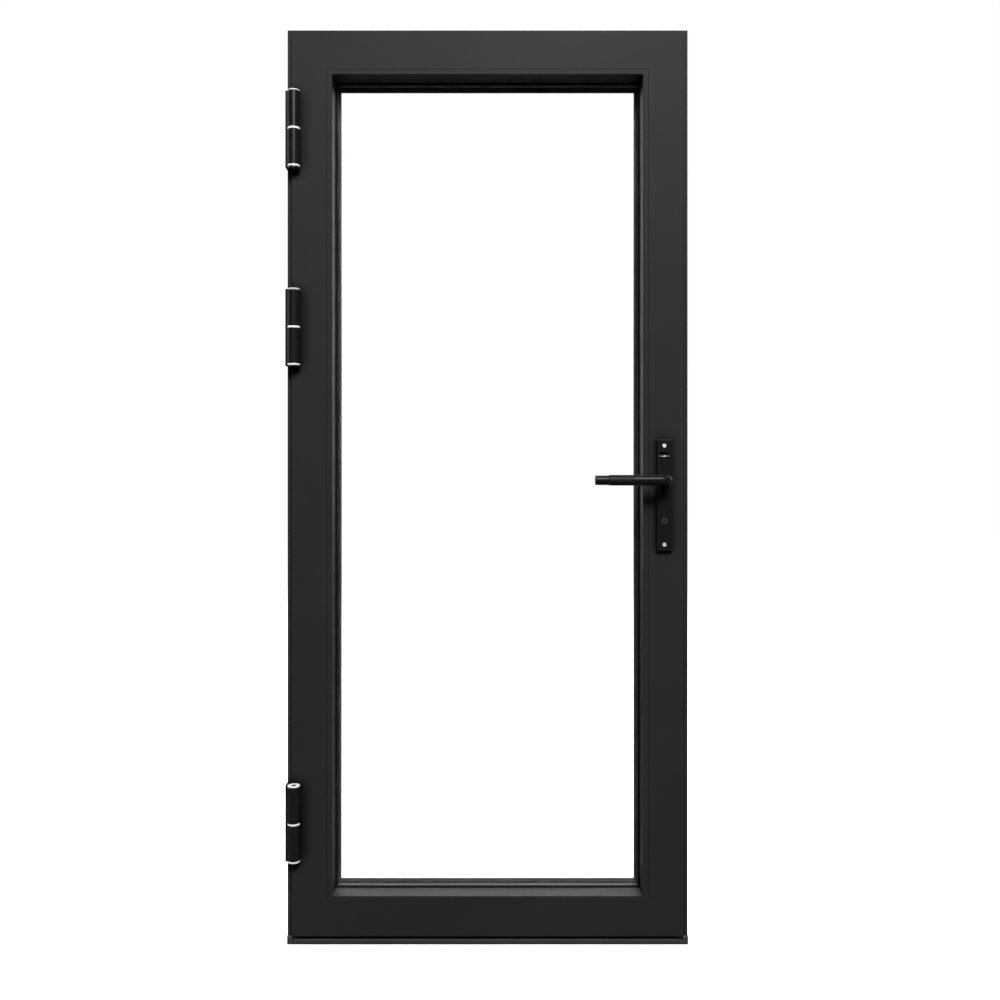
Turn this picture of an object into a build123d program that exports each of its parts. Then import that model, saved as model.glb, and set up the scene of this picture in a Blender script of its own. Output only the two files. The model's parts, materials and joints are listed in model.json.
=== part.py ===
from build123d import *
from math import radians, sin
import os

# A glazed aluminium door leaf in its outer frame, hinged on the left and opening towards the room.
# Sizes are in millimetres. X runs to the right, Y away from the room and Z up.
# The origin is on the floor, under the middle of the frame's width and depth.

# Outer frame
FRAME_WIDTH = 920.0
FRAME_HEIGHT = 2100.0
FRAME_DEPTH = 88.0
JAMB_WIDTH = 20.0
JAMB_WALL = 2.0
JAMB_EDGE_ROUND = 0.8
JAMB_CHAMBER = 32.0
STOP_REACH = 18.0
STOP_THICKNESS = 6.0
STOP_WALL = 1.5

# Threshold
THRESHOLD_HEIGHT = 12.0
THRESHOLD_NOSE = 6.0
THRESHOLD_RAMP = 54.0
THRESHOLD_STEP = 24.0
THRESHOLD_LIP = 13.0
THRESHOLD_WALL = 2.0
THRESHOLD_ROUND = 3.0
THRESHOLD_EDGE_ROUND = 1.0
END_BLOCK_HEIGHT = 20.0
END_BLOCK_NOTCH = 4.5

# Screw holes that fix the frame to a wall and a floor
FIXING_HOLE_RADIUS = 4.0
JAMB_FIXING_PITCH = 600.0
JAMB_FIXING_COUNT = 4
FLOOR_FIXING_PITCH = 300.0
FLOOR_FIXING_COUNT = 3

# Leaf profiles
FRAME_MARGIN = 12.0
HEAD_MARGIN = 14.0
FLANGE_CLEARANCE = 1.0
SASH_PROUD = 12.0
SASH_DEPTH = 90.0
FLANGE_WIDTH = 20.0
FLANGE_THICKNESS = 9.0
SASH_BODY = 54.5
SASH_NIB = 5.2
SASH_WALL = 3.0
SASH_FRONT_CHAMBER = 25.0
SASH_MIDDLE_CHAMBER = 28.0
SASH_LIP_REACH = 27.3
SASH_LIP_DEPTH = 8.0
SASH_LIP_WALL = 2.0
SASH_EDGE_ROUND = 0.9
SASH_NIB_ROUND = 0.45
CLEAT_LEG = 90.0
CLEAT_THICKNESS = 12.0

# Glazing
BEAD_GAP = 0.3
BEAD_SIGHT = 12.5
BEAD_DEPTH = 50.0
BEAD_WALL = 1.5
BEAD_ROUND = 1.6
BEAD_BACK_ROUND = 0.4
GASKET_THICKNESS = 3.0
GASKET_SIGHT = 4.5
GASKET_SLOPE = 2.0
GASKET_HOLD = 8.5
GASKET_ROUND = 0.8
GASKET_LIP_ROUND = 0.3
PANE_THICKNESS = 5.0
PANE_EDGE_GAP = 5.5
SPACER_GAP = 16.0
SPACER_INSET = 5.0
SPACER_WIDTH = 9.5
SPACER_WALL = 1.0
BLOCK_LENGTH = 100.0
BLOCK_FROM_CORNER = 180.0

# Seals
SEAL_GROOVE_INSET = 3.2
SEAL_GROOVE_WIDTH = 2.6
SEAL_GROOVE_DEPTH = 3.0
SEAL_PLAY = 0.1
SEAL_BULB_OVERHANG = 0.6
SEAL_BULB_HEIGHT = 2.5
SEAL_ROUND = 1.1
STOP_SEAL_WIDTH = 5.0
STOP_SEAL_INSET = 12.5
STOP_SEAL_ROUND = 1.0
STOP_SEAL_LIFT = 1.5
SOFT_GAP = 0.3
FLOOR_SEAL_WIDTH = 12.0

# Hinges
TOP_HINGE_DROP = 236.0
MIDDLE_HINGE_DROP = 687.0
BOTTOM_HINGE_HEIGHT = 285.0
HINGE_EDGE_OFFSET = 7.5
HINGE_BARREL_RADIUS = 14.0
HINGE_BARREL_CLEARANCE = 1.0
HINGE_KNUCKLE = 81.0
HINGE_WASHER = 4.2
HINGE_CAP = 4.2
HINGE_CAP_CHAMFER = 1.0
HINGE_CAP_DISH = 1.0
HINGE_CAP_DISH_RADIUS = 9.0
HINGE_RING = 3.4
HINGE_PLAY = 0.1
HINGE_PIN_RADIUS = 6.0
HINGE_BORE_PLAY = 0.05
HINGE_PIN_SHORT = 5.0
HINGE_PLUG_GAP = 1.0
HINGE_ADJUSTER_RADIUS = 12.5
HINGE_ADJUSTER_HEIGHT = 2.5
HINGE_ADJUSTER_CHAMFER = 0.8
HINGE_SOCKET_RADIUS = 2.5
FRAME_LEAF_WIDTH = 10.5
FRAME_LEAF_SCOOP = 0.6
SASH_LEAF_INSET = 1.0
SASH_LEAF_WIDTH = 20.5
SASH_LEAF_THICKNESS = 5.0
SASH_LEAF_HEIGHT = 74.0
STUD_RADIUS = 3.0
STUD_LENGTH = 8.0
STUD_SPREAD = 50.0
STUD_PLAY = 0.1

# Backplates
BACKSET = 25.0
SPINDLE_HEIGHT = 1065.0
PLATE_WIDTH = 35.0
OUTSIDE_PLATE_WIDTH = 30.0
PLATE_HEIGHT = 255.0
PLATE_DROP = 34.0
PLATE_THICKNESS = 9.5
PLATE_WALL = 3.0
PLATE_CORNER = 2.0
PLATE_ROUND = 2.0
PLATE_BOLT_PITCH = 226.0
BOLT_RADIUS = 2.5
BOLT_PLAY = 0.05
BOLT_HEAD_RADIUS = 4.8
BOLT_HEAD_HEIGHT = 2.4
BOLT_HEAD_CHAMFER = 0.6
BOLT_END_GAP = 1.0
BOLT_SOCKET_RADIUS = 1.8
BOLT_SOCKET_DEPTH = 1.5
BOLT_RECESS_RADIUS = 6.3
BOLT_RECESS_DEPTH = 2.8
BOLT_BOSS_RADIUS = 8.0
STILE_HOLE_PLAY = 1.0
SNIB_ABOVE_SPINDLE = 60.0
SNIB_POCKET_WIDTH = 25.0
SNIB_POCKET_HEIGHT = 9.0
SNIB_POCKET_DEPTH = 5.0
SNIB_POCKET_ROUND = 2.0
SNIB_WIDTH = 6.0
SNIB_PLAY = 0.3
SNIB_FLOOR_PLAY = 0.1
SNIB_INSET = 2.0
SNIB_RIB_INSET = 0.5
SNIB_RIB = 1.0
SNIB_GUARD = 2.5

# Levers
LEVER_REACH = 57.0
LEVER_RADIUS = 11.8
LEVER_BEND = 14.0
LEVER_TO_TIP = 163.0
OUTSIDE_LEVER_TO_TIP = 136.0
LEVER_PLATE_GAP = 0.5
LEVER_CORE_RADIUS = 7.0
JOURNAL_RADIUS = 10.0
JOURNAL_END_PLAY = 0.3
RUNNING_PLAY = 0.07
GRIP_LENGTH = 55.0
TIP_LENGTH = 30.0
TIP_RADIUS = 10.7
TIP_ROUND = 1.5
TIP_HOLD = 8.0
TIP_END_PLAY = 0.3
CORE_PLAY = 0.05
GRIP_SEAM = 0.4
SPINDLE_SIDE = 8.0
SPINDLE_PLAY = 0.05
SPINDLE_IN_LEVER = 22.0
SPINDLE_END_GAP = 1.0
GRUB_RADIUS = 2.5
GRUB_LENGTH = 6.0
GRUB_DEPTH_INTO_NECK = 15.0
GRUB_PLAY = 0.05

# Lock case
CASE_THICKNESS = 16.0
CASE_WALL = 1.5
CASE_BEHIND_SPINDLE = 17.5
CASE_BELOW_CYLINDER = 23.0
CASE_ABOVE_SPINDLE = 45.0
CASE_SLOT_PLAY = 0.5
FACEPLATE_THICKNESS = 2.5
FACEPLATE_WIDTH = 22.0
FACEPLATE_MARGIN = 20.0
FACEPLATE_SCREW_INSET = 8.0
SMALL_SCREW_RADIUS = 2.0
SMALL_SCREW_HEAD = 3.9
SMALL_SCREW_LENGTH = 7.0
SMALL_SCREW_SOCKET = 1.2

# Latch and follower
BOLT_WIDTH = 10.0
BOLT_SLIDE_PLAY = 0.3
LATCH_HEIGHT = 13.0
LATCH_THROW = 12.0
LATCH_OUT = 10.5
LATCH_BEVEL = 7.0
LEVER_TURN = 45.0
FOLLOWER_RADIUS = 9.3
FOLLOWER_JOURNAL = 7.5
FINGER_TIP = 2.4
FINGER_WAIST = 2.0
FINGER_THICKNESS = 5.0
NOTCH_PLAY = 0.5
LUG_WALL = 3.1
LUG_ABOVE_HUB = 3.2
LUG_ROOF = 0.8

# Key cylinder and deadbolt
CYLINDER_DROP = 92.0
CYLINDER_RADIUS = 6.5
CYLINDER_PROUD = 1.0
CYLINDER_PLAY = 0.1
PLUG_RADIUS = 4.25
PLUG_INSET = 0.2
PLUG_PLAY = 0.05
CAM_RADIUS = 5.0
CAM_THICKNESS = 6.0
CAM_LUG_ABOVE_HUB = 1.2
CAM_GAP_BELOW = 2.5
CAM_PLAY = 0.3
KEY_TURN = 90.0
KEYWAY_WIDTH = 1.6
KEYWAY_HEIGHT = 6.0
KEYWAY_DEPTH = 12.0
DEADBOLT_HEIGHT = 16.0
DEADBOLT_THROW = 14.0

# Strike plate
STRIKE_THICKNESS = 5.0
STRIKE_WIDTH = 28.0
STRIKE_MARGIN = 18.0
STRIKE_PLAY = 1.0
STRIKE_SCREW_INSET = 8.0
STRIKE_JAMB_PLAY = 2.0

# How far two forms of one piece run into each other before they are fused
FUSE = 1.0

# Places worked out from the sizes above
SIDES = {"left": 0, "top": 90, "right": 180, "bottom": 270}
HINGE_HEIGHTS = {
    "top": FRAME_HEIGHT - TOP_HINGE_DROP,
    "middle": FRAME_HEIGHT - MIDDLE_HINGE_DROP,
    "bottom": BOTTOM_HINGE_HEIGHT,
}
HALF_FRAME = FRAME_WIDTH / 2
FRAME_FRONT = -FRAME_DEPTH / 2
FRAME_BACK = FRAME_DEPTH / 2
JAMB_INNER = HALF_FRAME - JAMB_WIDTH
STOP_FRONT = FRAME_BACK - STOP_THICKNESS
STOP_EDGE = JAMB_WIDTH + STOP_REACH
SASH_FRONT = FRAME_FRONT - SASH_PROUD
SASH_BACK = SASH_FRONT + SASH_DEPTH
SASH_BOTTOM = END_BLOCK_HEIGHT + FLANGE_CLEARANCE
SASH_TOP = FRAME_HEIGHT - HEAD_MARGIN
SASH_WIDTH = FRAME_WIDTH - 2 * FRAME_MARGIN
SASH_HEIGHT = SASH_TOP - SASH_BOTTOM
SASH_MIDDLE = (SASH_TOP + SASH_BOTTOM) / 2
REBATE = FLANGE_WIDTH + SASH_BODY
SASH_LIP_EDGE = REBATE + SASH_LIP_REACH
SASH_LIP_FRONT = SASH_BACK - SASH_LIP_DEPTH
BEAD_OUTER = REBATE + SASH_NIB + BEAD_GAP
BEAD_EDGE = BEAD_OUTER + BEAD_SIGHT
BEAD_BACK = SASH_FRONT + BEAD_DEPTH
INNER_PANE_FRONT = BEAD_BACK + GASKET_THICKNESS
SPACER_FRONT = INNER_PANE_FRONT + PANE_THICKNESS
OUTER_PANE_FRONT = SPACER_FRONT + SPACER_GAP
GLASS_BACK = OUTER_PANE_FRONT + PANE_THICKNESS
PANE_EDGE = REBATE + PANE_EDGE_GAP
LOCK_EDGE = SASH_WIDTH / 2 - FLANGE_WIDTH
LOCK_PLANE = SASH_FRONT + SASH_DEPTH / 2
SPINDLE_X = LOCK_EDGE - BACKSET
CYLINDER_HEIGHT = SPINDLE_HEIGHT - CYLINDER_DROP
SNIB_HEIGHT = SPINDLE_HEIGHT + SNIB_ABOVE_SPINDLE
PLATE_MIDDLE = SPINDLE_HEIGHT - PLATE_DROP
HINGE_X = -SASH_WIDTH / 2 + HINGE_EDGE_OFFSET
HINGE_Y = SASH_FRONT - HINGE_BARREL_RADIUS - HINGE_BARREL_CLEARANCE
PLATE_FRONT = SASH_FRONT - PLATE_THICKNESS
LEVER_Y = SASH_FRONT - LEVER_REACH
CASE_FRONT = LOCK_PLANE - CASE_THICKNESS / 2
CASE_BACK = LOCK_PLANE + CASE_THICKNESS / 2
CASE_BOTTOM = CYLINDER_HEIGHT - CASE_BELOW_CYLINDER
CASE_TOP = SPINDLE_HEIGHT + CASE_ABOVE_SPINDLE
FACEPLATE_FACE = LOCK_EDGE + FACEPLATE_THICKNESS


def block(x, y, z):
    """A box from its lowest and highest place along each axis."""
    low = (min(x), min(y), min(z))
    high = (max(x), max(y), max(z))
    centre = [(a + b) / 2 for a, b in zip(low, high)]
    size = [b - a for a, b in zip(low, high)]
    return Pos(*centre) * Box(*size)


def rod_x(radius, x, y, z):
    """A round rod along X from x[0] to x[1]."""
    return Pos((x[0] + x[1]) / 2, y, z) * Rot(0, 90, 0) * Cylinder(radius, abs(x[1] - x[0]))


def rod_y(radius, x, y, z):
    """A round rod along Y from y[0] to y[1]."""
    return Pos(x, (y[0] + y[1]) / 2, z) * Rot(90, 0, 0) * Cylinder(radius, abs(y[1] - y[0]))


def rod_z(radius, x, y, z):
    """A round rod along Z from z[0] to z[1]."""
    return Pos(x, y, (z[0] + z[1]) / 2) * Cylinder(radius, abs(z[1] - z[0]))


def section(*corners):
    """A flat outline from its corners, each with an optional radius."""
    points = [corner[:2] for corner in corners]
    radii = [corner[2] if len(corner) > 2 else 0 for corner in corners]
    if any(radii):
        return make_face(FilletPolyline(*points, radius=radii, close=True))
    return make_face(Polyline(*points, close=True))


def window(x, y):
    """A plain rectangular hole in a section."""
    return section((x[0], y[0]), (x[1], y[0]), (x[1], y[1]), (x[0], y[1]))


def member(profile, width, height, middle, side):
    """One mitred side of a rectangular ring. The profile's X is the distance inward from the ring's edge."""
    upright = side in ("left", "right")
    length = height if upright else width
    across = width if upright else height
    reach = profile.bounding_box().max.X
    bar = extrude(profile, length / 2, both=True)
    mitred = section(
        (0, -length / 2),
        (reach, reach - length / 2),
        (reach, length / 2 - reach),
        (0, length / 2),
    )
    depth = 2 * max(abs(profile.bounding_box().min.Y), abs(profile.bounding_box().max.Y))
    bar = bar & extrude(Plane.XZ * mitred, depth, both=True)
    return Pos(0, 0, middle) * Rot(0, SIDES[side], 0) * Pos(-across / 2, 0, 0) * bar


def ring(profile, width, height, middle):
    """A one-piece rectangular ring of one profile."""
    whole = member(profile, width, height, middle, "left")
    for side in ("top", "right", "bottom"):
        whole = whole + member(profile, width, height, middle, side)
    return whole


def sash_member(profile, side):
    return member(profile, SASH_WIDTH, SASH_HEIGHT, SASH_MIDDLE, side)


def sash_ring(profile):
    return ring(profile, SASH_WIDTH, SASH_HEIGHT, SASH_MIDDLE)


def group(solids):
    return Compound(children=[Solid(s.solids()[0].wrapped) for s in solids])


# Outer frame

def jamb_profile():
    outline = section(
        (0, FRAME_FRONT, JAMB_EDGE_ROUND),
        (JAMB_WIDTH, FRAME_FRONT, JAMB_EDGE_ROUND),
        (JAMB_WIDTH, STOP_FRONT),
        (STOP_EDGE, STOP_FRONT),
        (STOP_EDGE, FRAME_BACK, JAMB_EDGE_ROUND),
        (0, FRAME_BACK),
    )
    across = (JAMB_WALL, JAMB_WIDTH - JAMB_WALL)
    chamber_front = LOCK_PLANE - JAMB_CHAMBER / 2
    chamber_back = LOCK_PLANE + JAMB_CHAMBER / 2
    outline = outline - window(across, (FRAME_FRONT + JAMB_WALL, chamber_front - JAMB_WALL))
    outline = outline - window(across, (chamber_front, chamber_back))
    outline = outline - window(across, (chamber_back + JAMB_WALL, FRAME_BACK - JAMB_WALL))
    stop_across = (JAMB_WIDTH, STOP_EDGE - STOP_WALL)
    return outline - window(stop_across, (STOP_FRONT + STOP_WALL, FRAME_BACK - STOP_WALL))


def jamb(side):
    """An upright: mitred at the head and cut square on the threshold's end block."""
    below_floor = 2 * STOP_EDGE
    height = FRAME_HEIGHT + below_floor
    bar = member(jamb_profile(), FRAME_WIDTH, height, FRAME_HEIGHT - height / 2, side)
    bar = bar - block(
        (-HALF_FRAME, HALF_FRAME),
        (FRAME_FRONT, FRAME_BACK),
        (-below_floor, END_BLOCK_HEIGHT),
    )
    outside = -HALF_FRAME if side == "left" else HALF_FRAME
    inside = -JAMB_INNER if side == "left" else JAMB_INNER
    for number in range(JAMB_FIXING_COUNT):
        up = (number - (JAMB_FIXING_COUNT - 1) / 2) * JAMB_FIXING_PITCH
        bar = bar - rod_x(FIXING_HOLE_RADIUS, (outside, inside), LOCK_PLANE, FRAME_HEIGHT / 2 + up)
    return bar


def hinge_jamb():
    bar = jamb("left")
    x = -HALF_FRAME + FRAME_LEAF_WIDTH / 2
    for height in HINGE_HEIGHTS.values():
        for up in (-STUD_SPREAD, STUD_SPREAD):
            y = (FRAME_FRONT, FRAME_FRONT + JAMB_WALL)
            bar = bar - rod_y(STUD_RADIUS + STUD_PLAY, x, y, height + up)
    return bar


def bolt_window(low_x, high_x, centre_z, height, play):
    """The hole that a bolt of the lock passes through."""
    half = BOLT_WIDTH / 2 + play
    return block(
        (low_x, high_x),
        (LOCK_PLANE - half, LOCK_PLANE + half),
        (centre_z - height / 2 - play, centre_z + height / 2 + play),
    )


def lock_jamb():
    bar = jamb("right")
    wall = (JAMB_INNER, JAMB_INNER + JAMB_WALL)
    bar = bar - bolt_window(*wall, latch_middle(), LATCH_HEIGHT, STRIKE_JAMB_PLAY)
    bar = bar - bolt_window(*wall, deadbolt_middle(), DEADBOLT_HEIGHT, STRIKE_JAMB_PLAY)
    for z in strike_screw_heights():
        bar = bar - rod_x(SMALL_SCREW_RADIUS + STUD_PLAY, wall, LOCK_PLANE, z)
    return bar


def frame_head():
    return member(jamb_profile(), FRAME_WIDTH, FRAME_HEIGHT, FRAME_HEIGHT / 2, "top")


def threshold():
    """The low sill: a rounded nose, a flat tread, a raised rear and an upstand that the leaf closes on."""
    nose = FRAME_FRONT - THRESHOLD_NOSE
    step = nose + THRESHOLD_RAMP
    raised = THRESHOLD_HEIGHT + THRESHOLD_STEP
    top = raised + THRESHOLD_LIP
    outline = section(
        (nose, 0),
        (nose, THRESHOLD_HEIGHT, THRESHOLD_ROUND),
        (step, THRESHOLD_HEIGHT),
        (step, raised, THRESHOLD_EDGE_ROUND),
        (STOP_FRONT, raised),
        (STOP_FRONT, top),
        (FRAME_BACK, top, THRESHOLD_EDGE_ROUND),
        (FRAME_BACK, 0),
    )
    wall = THRESHOLD_WALL
    tread = (nose + THRESHOLD_ROUND, step - wall)
    rear = (step + wall, STOP_FRONT - wall)
    outline = outline - window(tread, (wall, THRESHOLD_HEIGHT - wall))
    outline = outline - window(rear, (wall, raised - wall))
    bar = extrude(Plane.YZ * outline, JAMB_INNER, both=True)
    for side in (-1, 1):
        bar = bar - block(
            (side * (HALF_FRAME - STOP_EDGE), side * HALF_FRAME),
            (STOP_FRONT, FRAME_BACK),
            (END_BLOCK_HEIGHT, top),
        )
    for number in range(FLOOR_FIXING_COUNT):
        x = (number - (FLOOR_FIXING_COUNT - 1) / 2) * FLOOR_FIXING_PITCH
        bar = bar - rod_z(FIXING_HOLE_RADIUS, x, sum(tread) / 2, (0, THRESHOLD_HEIGHT))
    return bar


def threshold_end_blocks():
    """The two blocks that close the sill's ends and carry the uprights, notched beside the leaf's edge."""
    blocks = []
    for side in (-1, 1):
        one = block(
            (side * JAMB_INNER, side * HALF_FRAME),
            (FRAME_FRONT - THRESHOLD_NOSE, FRAME_BACK),
            (0, END_BLOCK_HEIGHT),
        )
        front = one.edges().filter_by(Axis.X).sort_by(Axis.Y)[:2].sort_by(Axis.Z)[-1]
        one = fillet(front, THRESHOLD_ROUND)
        notch = HALF_FRAME - FRAME_MARGIN
        one = one - block(
            (side * (notch - END_BLOCK_NOTCH), side * notch),
            (FRAME_FRONT - THRESHOLD_NOSE, FRAME_FRONT),
            (THRESHOLD_HEIGHT, END_BLOCK_HEIGHT),
        )
        blocks.append(one)
    return group(blocks)


def corner_cleat(outer_x, outer_z, leg, thickness, y, side_x, side_z):
    """An angle that joins two mitred profiles from inside a corner."""
    upright = block(
        (outer_x, outer_x - side_x * thickness), y, (outer_z, outer_z - side_z * leg)
    )
    level = block(
        (outer_x, outer_x - side_x * leg), y, (outer_z, outer_z - side_z * thickness)
    )
    return upright + level


def frame_corner_cleats():
    half = JAMB_CHAMBER / 2 - SEAL_PLAY
    y = (LOCK_PLANE - half, LOCK_PLANE + half)
    thickness = JAMB_WIDTH - 2 * JAMB_WALL - SEAL_PLAY
    x = HALF_FRAME - JAMB_WALL
    z = FRAME_HEIGHT - JAMB_WALL
    return group(
        [corner_cleat(side * x, z, CLEAT_LEG, thickness, y, side, 1) for side in (-1, 1)]
    )


def frame_stop_seal():
    """The seal on the frame's stop that the closed leaf lies against."""
    side = JAMB_WIDTH + STOP_SEAL_INSET
    bottom = SASH_BOTTOM + FLANGE_WIDTH + STOP_SEAL_LIFT
    top = FRAME_HEIGHT - side
    profile = section(
        (0, SASH_BACK + SOFT_GAP, STOP_SEAL_ROUND),
        (STOP_SEAL_WIDTH, SASH_BACK + SOFT_GAP, STOP_SEAL_ROUND),
        (STOP_SEAL_WIDTH, STOP_FRONT),
        (0, STOP_FRONT),
    )
    return ring(profile, FRAME_WIDTH - 2 * side, top - bottom, (top + bottom) / 2)


def threshold_seal():
    """The strip on the raised rear of the sill, just under the leaf."""
    raised = THRESHOLD_HEIGHT + THRESHOLD_STEP
    front = FRAME_FRONT - THRESHOLD_NOSE + THRESHOLD_RAMP + FLOOR_SEAL_WIDTH / 2
    strip = block(
        (-JAMB_INNER, JAMB_INNER),
        (front, front + FLOOR_SEAL_WIDTH),
        (raised, SASH_BOTTOM + FLANGE_WIDTH - SOFT_GAP),
    )
    edges = strip.edges().filter_by(Axis.X).sort_by(Axis.Z)[-2:]
    return fillet(edges, SEAL_ROUND)


# Leaf profiles

def sash_profile():
    flange_back = SASH_FRONT + FLANGE_THICKNESS
    groove_end = SEAL_GROOVE_INSET + SEAL_GROOVE_WIDTH
    groove_floor = flange_back - SEAL_GROOVE_DEPTH
    outline = section(
        (0, SASH_FRONT, SASH_EDGE_ROUND),
        (REBATE + SASH_NIB, SASH_FRONT, SASH_NIB_ROUND),
        (REBATE + SASH_NIB, SASH_FRONT + SASH_WALL),
        (REBATE, SASH_FRONT + SASH_WALL),
        (REBATE, SASH_LIP_FRONT),
        (SASH_LIP_EDGE, SASH_LIP_FRONT, SASH_EDGE_ROUND),
        (SASH_LIP_EDGE, SASH_BACK, SASH_EDGE_ROUND),
        (FLANGE_WIDTH, SASH_BACK, SASH_EDGE_ROUND),
        (FLANGE_WIDTH, flange_back),
        (groove_end, flange_back),
        (groove_end, groove_floor),
        (SEAL_GROOVE_INSET, groove_floor),
        (SEAL_GROOVE_INSET, flange_back),
        (0, flange_back, SASH_EDGE_ROUND),
    )
    across = (FLANGE_WIDTH + SASH_WALL, REBATE - SASH_WALL)
    front = SASH_FRONT + SASH_WALL
    for depth in (SASH_FRONT_CHAMBER, SASH_MIDDLE_CHAMBER):
        outline = outline - window(across, (front, front + depth))
        front += depth + SASH_WALL
    outline = outline - window(across, (front, SASH_BACK - SASH_WALL))
    lip_across = (REBATE, SASH_LIP_EDGE - SASH_LIP_WALL)
    lip_deep = (SASH_LIP_FRONT + SASH_LIP_WALL, SASH_BACK - SASH_LIP_WALL)
    return outline - window(lip_across, lip_deep)


def sash_hinge_stile():
    """The upright that carries the three hinges, with holes for their studs."""
    bar = sash_member(sash_profile(), "left")
    y = (SASH_FRONT, SASH_FRONT + STUD_LENGTH + SOFT_GAP)
    for height in HINGE_HEIGHTS.values():
        for up in sash_stud_heights():
            bar = bar - rod_y(STUD_RADIUS + STUD_PLAY, sash_stud_x(), y, height + up)
    return bar


def sash_lock_stile():
    """The upright that holds the lock: cut for the case, the spindle, the cylinder and the bolts."""
    bar = sash_member(sash_profile(), "right")
    through = (SASH_FRONT, SASH_BACK)
    bar = bar - rod_y(JOURNAL_RADIUS + STILE_HOLE_PLAY, SPINDLE_X, through, SPINDLE_HEIGHT)
    bar = bar - rod_y(CYLINDER_RADIUS + CYLINDER_PLAY, SPINDLE_X, through, CYLINDER_HEIGHT)
    for z in plate_bolt_heights():
        bar = bar - rod_y(BOLT_RADIUS + STILE_HOLE_PLAY, SPINDLE_X, through, z)
    bar = bar - block(
        (LOCK_EDGE - SASH_WALL, LOCK_EDGE),
        (CASE_FRONT - CASE_SLOT_PLAY, CASE_BACK + CASE_SLOT_PLAY),
        (CASE_BOTTOM - CASE_SLOT_PLAY, CASE_TOP + CASE_SLOT_PLAY),
    )
    for z in faceplate_screw_heights():
        wall = (LOCK_EDGE - SASH_WALL, LOCK_EDGE)
        bar = bar - rod_x(SMALL_SCREW_RADIUS + STUD_PLAY, wall, LOCK_PLANE, z)
    return bar


def sash_corner_cleats():
    """Four angles in the middle chamber that pull the mitres of the leaf together."""
    front = SASH_FRONT + 2 * SASH_WALL + SASH_FRONT_CHAMBER
    y = (front + SEAL_PLAY, front + SASH_MIDDLE_CHAMBER - SEAL_PLAY)
    x = SASH_WIDTH / 2 - FLANGE_WIDTH - SASH_WALL
    rise = SASH_HEIGHT / 2 - FLANGE_WIDTH - SASH_WALL
    cleats = []
    for side_x in (-1, 1):
        for side_z in (-1, 1):
            z = SASH_MIDDLE + side_z * rise
            cleats.append(
                corner_cleat(side_x * x, z, CLEAT_LEG, CLEAT_THICKNESS, y, side_x, side_z)
            )
    return group(cleats)


# Glazing

def bead_profile():
    foot = REBATE + BEAD_GAP
    nib_back = SASH_FRONT + SASH_WALL + BEAD_GAP
    outline = section(
        (BEAD_OUTER, SASH_FRONT, BEAD_BACK_ROUND),
        (BEAD_EDGE, SASH_FRONT, BEAD_ROUND),
        (BEAD_EDGE, BEAD_BACK, BEAD_BACK_ROUND),
        (foot, BEAD_BACK),
        (foot, nib_back),
        (BEAD_OUTER, nib_back),
    )
    hollow = (foot + BEAD_WALL, BEAD_EDGE - BEAD_WALL)
    return outline - window(hollow, (nib_back + BEAD_WALL, BEAD_BACK - BEAD_WALL))


def gasket_profile(front, back, narrow_at_front):
    """A glazing gasket whose sight edge slopes away from the glass."""
    tip = BEAD_EDGE + GASKET_SIGHT
    near = tip - GASKET_SLOPE if narrow_at_front else tip
    far = tip if narrow_at_front else tip - GASKET_SLOPE
    held = BEAD_EDGE - GASKET_HOLD
    return section(
        (held, front),
        (near, front, GASKET_ROUND),
        (far, back, GASKET_LIP_ROUND),
        (held, back),
    )


def inner_glazing_gasket():
    return sash_ring(gasket_profile(BEAD_BACK, INNER_PANE_FRONT, True))


def outer_glazing_gasket():
    return sash_ring(gasket_profile(GLASS_BACK, SASH_LIP_FRONT, False))


def pane(front):
    half_width = SASH_WIDTH / 2 - PANE_EDGE
    half_height = SASH_HEIGHT / 2 - PANE_EDGE
    return block(
        (-half_width, half_width),
        (front, front + PANE_THICKNESS),
        (SASH_MIDDLE - half_height, SASH_MIDDLE + half_height),
    )


def pane_spacer():
    """The hollow bar between the two panes."""
    outer = PANE_EDGE + SPACER_INSET
    inner = outer + SPACER_WIDTH
    profile = window((outer, inner), (SPACER_FRONT, OUTER_PANE_FRONT))
    hollow = window(
        (outer + SPACER_WALL, inner - SPACER_WALL),
        (SPACER_FRONT + SPACER_WALL, OUTER_PANE_FRONT - SPACER_WALL),
    )
    return sash_ring(profile - hollow)


def setting_blocks():
    """Packers between the glass edges and the rebate: two below, two up each side."""
    y = (INNER_PANE_FRONT, GLASS_BACK)
    half_width = SASH_WIDTH / 2 - REBATE
    half_height = SASH_HEIGHT / 2 - REBATE
    blocks = []
    for side in (-1, 1):
        middle = side * (half_width - BLOCK_FROM_CORNER)
        blocks.append(
            block(
                (middle - BLOCK_LENGTH / 2, middle + BLOCK_LENGTH / 2),
                y,
                (SASH_MIDDLE - half_height, SASH_MIDDLE - half_height + PANE_EDGE_GAP),
            )
        )
        for up in (-1, 1):
            middle = SASH_MIDDLE + up * (half_height - BLOCK_FROM_CORNER)
            blocks.append(
                block(
                    (side * half_width, side * (half_width - PANE_EDGE_GAP)),
                    y,
                    (middle - BLOCK_LENGTH / 2, middle + BLOCK_LENGTH / 2),
                )
            )
    return group(blocks)


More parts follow.
